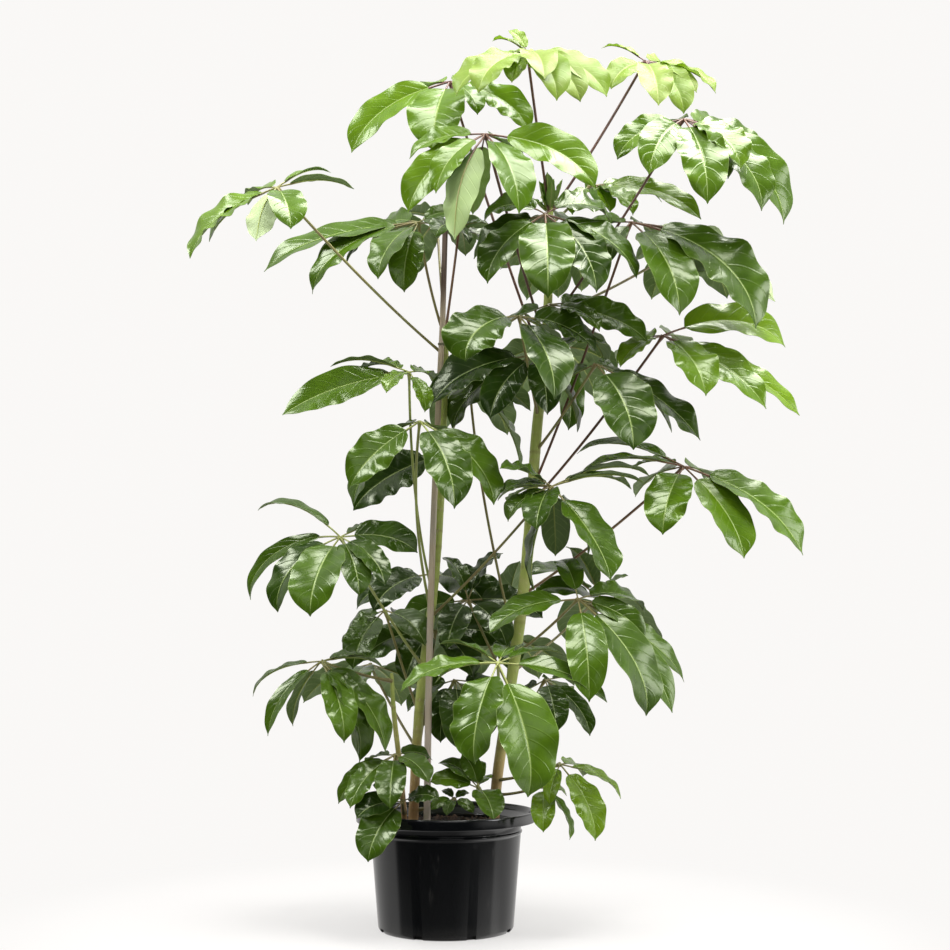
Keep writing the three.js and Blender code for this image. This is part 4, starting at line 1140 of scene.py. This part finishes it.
class StageSettings(bpy.types.PropertyGroup):
    """Camera, floor and light."""
    lens: bpy.props.FloatProperty(
        name="Lens", description="The camera's focal length",
        default=CAMERA["focal"] / CAMERA["picture"] * CAMERA["sensor"], subtype="DISTANCE_CAMERA")
    distance: bpy.props.FloatProperty(
        name="Distance", description="How far the camera stands before the pot",
        default=CAMERA["distance"], unit="LENGTH")
    backdrop: colour_setting("Backdrop", "What shows round the plant", (0.955, 0.94, 0.925))
    floor: colour_setting("Floor", "The plain pale floor", (0.53, 0.525, 0.52))


def settings():
    return bpy.context.scene.umbrella_plant


# ---- operators ----------------------------------------------------------------------------
class PLANT_OT_pot(bpy.types.Operator):
    """Make the nursery pot"""
    bl_idname = "plant.pot"
    bl_label = "Pot"

    def execute(self, context):
        pot = pot_piece()
        pot.data.materials.clear()
        pot.data.materials.append(pot_plastic(settings().pot_colour))
        dress(pot, "pot_plastic", "pot")
        return {"FINISHED"}


class PLANT_OT_soil(bpy.types.Operator):
    """Make the potting mix with its crumbs and bark chips"""
    bl_idname = "plant.soil"
    bl_label = "Potting mix"

    def execute(self, context):
        sizes = settings()
        mix = potting_mix("potting mix", (0.008, 0.0055, 0.004), (0.032, 0.022, 0.014), 160)
        bark = potting_mix("bark chips", (0.024, 0.013, 0.008), (0.10, 0.058, 0.033), 90)
        dress(add("soil_bed", soil_mesh(), mix), "potting_mix", "soil")
        strew = crumb_tree()
        crumbs = grow("soil_crumbs", soil_top(), strew, Density=sizes.crumb_density,
                      Size=sizes.crumb_size, Flatness=0.9, Seed=4, Finish=mix)
        dress(crumbs, "potting_mix")
        chips = grow("bark_chips", soil_top(), strew, Density=sizes.chip_density,
                     Size=sizes.crumb_size * 2.3, Flatness=0.5, Seed=9, Finish=bark)
        dress(chips, "potting_mix")
        return {"FINISHED"}


class PLANT_OT_stems(bpy.types.Operator):
    """Make the two cane stems and the side stem"""
    bl_idname = "plant.stems"
    bl_label = "Stems"

    def execute(self, context):
        tubes, bark = tube_tree(), stem_bark()
        for name, node in STEM_NODES.items():
            start = paths_mesh(f"{name} line", [stem_path(name)])
            stem = grow(f"cane_{name}", start, tubes, Sides=settings().stem_sides, Finish=bark)
            dress(stem, "stem", node)
        return {"FINISHED"}


class PLANT_OT_stake(bpy.types.Operator):
    """Make the stake and the twine that ties the left stem to it"""
    bl_idname = "plant.stake"
    bl_label = "Stake and ties"

    def execute(self, context):
        dress(add("stake_wood", stake_mesh(), stake_wood()), "stake_wood", "stake")
        tubes, cord = tube_tree(), twine()
        for node, tie in TIES.items():
            start = paths_mesh(f"{node} line", tie_paths(**tie))
            bands = grow(f"twine_{node}", start, tubes, Sides=TWINE["sides"], Finish=cord)
            dress(bands, "tie", node)
        return {"FINISHED"}


class PLANT_OT_fronds(bpy.types.Operator):
    """Make every frond: its long stalk and its leaflets"""
    bl_idname = "plant.fronds"
    bl_label = "Fronds"

    def execute(self, context):
        greens, slots = leaf_finishes(settings()), ("leaf", "leaf_light", "leaf_new")
        tubes, skin = tube_tree(), stalk_skin()

        def make(frond, looks, stalk, names, *nodes):
            leaflets = leaflets_mesh(f"{frond.name} blades", looks)
            dress(add(names[0], leaflets, *greens[frond.young]), slots[frond.young], *nodes)
            start = paths_mesh(f"{frond.name} lines", stalk + [rib_path(look) for look in looks])
            stalks = grow(names[1], start, tubes, Sides=settings().stalk_sides, Finish=skin)
            dress(stalks, "leaf_stalk", *nodes)

        for order, frond in enumerate(FRONDS):
            make(frond, frond_looks(frond, order), [stalk_path(frond)],
                 (f"leaflets_{frond.name}", f"stalk_{frond.name}"), f"frond_{frond.name}")
        young = frond_looks(GROWING_TIP, GROWING_TIP_ORDER)
        for look in young:
            look["fold"] = GROWING_TIP_FOLD
        make(GROWING_TIP, young, [], ("growing_tip", "growing_tip_ribs"))
        return {"FINISHED"}


class PLANT_OT_stage(bpy.types.Operator):
    """Make the pale floor, the soft light and the camera"""
    bl_idname = "plant.stage"
    bl_label = "Stage"

    def execute(self, context):
        stage = context.scene.umbrella_stage
        make_floor(stage.floor, stage.backdrop)
        make_surroundings(stage.backdrop)
        for lamp in LAMPS:
            softbox(*lamp)
        data = bpy.data.cameras.new("camera")
        data.lens = stage.lens
        data.sensor_width = CAMERA["sensor"]
        data.shift_y = CAMERA["shift"]
        data.clip_end = 200
        camera = add("camera", data)
        camera.location = (CAMERA["x"], -stage.distance, CAMERA["height"])
        camera.rotation_euler = (math.radians(90), 0, 0)
        context.scene.camera = camera
        context.scene.view_settings.view_transform = "Standard"
        return {"FINISHED"}


def make_floor(colour, backdrop):
    """A pale floor that runs out into the backdrop."""
    tree = Finish("pale floor")
    away = tree.node("ShaderNodeVectorMath", {"operation": "LENGTH"}, tree.place(), output=1)
    lit = tree.node("ShaderNodeBsdfPrincipled", None, Base_Color=colour, Roughness=0.8)
    far = tree.node("ShaderNodeEmission", None, backdrop, 1.0)
    share = tree.step(away, 0.15, 0.9) * 0.4 + 0.6
    finish = tree.ends_in(tree.node("ShaderNodeMixShader", None, share, lit, far))
    sides = FLOOR["sides"]
    points = [FLOOR["reach"] * spoke(math.tau * k / sides) + (0, 0, FLOOR["level"])
              for k in range(sides)]
    floor = add("floor", mesh_of("floor", points, [tuple(range(sides))]), finish)
    floor.visible_glossy = False  # or the floor before the pot would shine grey in its front


def softbox(name, place, aim, size, power, colour):
    """A rectangular lamp that the camera doesn't see."""
    data = bpy.data.lights.new(name, "AREA")
    data.shape = "RECTANGLE"
    data.size, data.size_y = size
    data.energy = power
    data.color = colour
    lamp = add(name, data)
    lamp.location = place
    lamp.rotation_euler = (Vector(aim) - Vector(place)).to_track_quat("-Z", "Y").to_euler()
    lamp.visible_camera = False


def make_surroundings(backdrop):
    """Soft light from all round, which the plant mirrors. The camera sees the plain backdrop."""
    world = bpy.data.worlds.new("studio")
    bpy.context.scene.world = world
    world.use_nodes = True
    tree = Tree(world.node_tree)
    x, y, z = tree.parts(tree.node("ShaderNodeTexCoord", output="Generated"))
    above = tree.step(z, 0.3, 0.95) * 0.22
    behind = tree.step(y, -0.16, -0.06) * 0.75
    front = tree.step(z, -0.2, 0.3) * 0.07
    # the bright floor that the pot's tapering side mirrors, most of all to the right
    edge = z - x ** 4 * 0.085
    near_floor = tree.step(edge, -0.375, -0.382) * (tree.step(x, 0.2, 0.8) * 0.75 + 0.25)
    # a low bright band to the right
    band = tree.step(z, -0.25, -0.12) * tree.step(z, 0.3, 0.05)
    beside = tree.step(x, 0.5, 0.9) * band * 0.8
    strength = above + behind + front + near_floor + beside
    light = tree.node("ShaderNodeBackground", None, (1, 0.985, 0.965), strength)
    plain = tree.node("ShaderNodeBackground", None, backdrop, 1.0)
    seen = tree.node("ShaderNodeLightPath", output="Is Camera Ray")
    tree.node("ShaderNodeOutputWorld", None,
              tree.node("ShaderNodeMixShader", None, seen, light, plain))


class PLANT_PT_panel(bpy.types.Panel):
    """The plant's settings and the buttons that make its pieces"""
    bl_idname = "PLANT_PT_panel"
    bl_label = "Umbrella plant"
    bl_space_type = "VIEW_3D"
    bl_region_type = "UI"
    bl_category = "Umbrella plant"

    def draw(self, context):
        for group in (context.scene.umbrella_plant, context.scene.umbrella_stage):
            for name in group.__annotations__:
                self.layout.prop(group, name)
        for step in STEPS:
            self.layout.operator(step.bl_idname)


STEPS = (PLANT_OT_pot, PLANT_OT_soil, PLANT_OT_stems, PLANT_OT_stake, PLANT_OT_fronds,
         PLANT_OT_stage)
CLASSES = (PlantSettings, StageSettings, *STEPS, PLANT_PT_panel)


def register():
    for kind in CLASSES:
        bpy.utils.register_class(kind)
    bpy.types.Scene.umbrella_plant = bpy.props.PointerProperty(type=PlantSettings)
    bpy.types.Scene.umbrella_stage = bpy.props.PointerProperty(type=StageSettings)


def unregister():
    del bpy.types.Scene.umbrella_stage
    del bpy.types.Scene.umbrella_plant
    for kind in reversed(CLASSES):
        bpy.utils.unregister_class(kind)


def main():
    register()
    for step in STEPS:
        group, name = step.bl_idname.split(".")
        getattr(getattr(bpy.ops, group), name)()


if __name__ == "__main__":
    main()
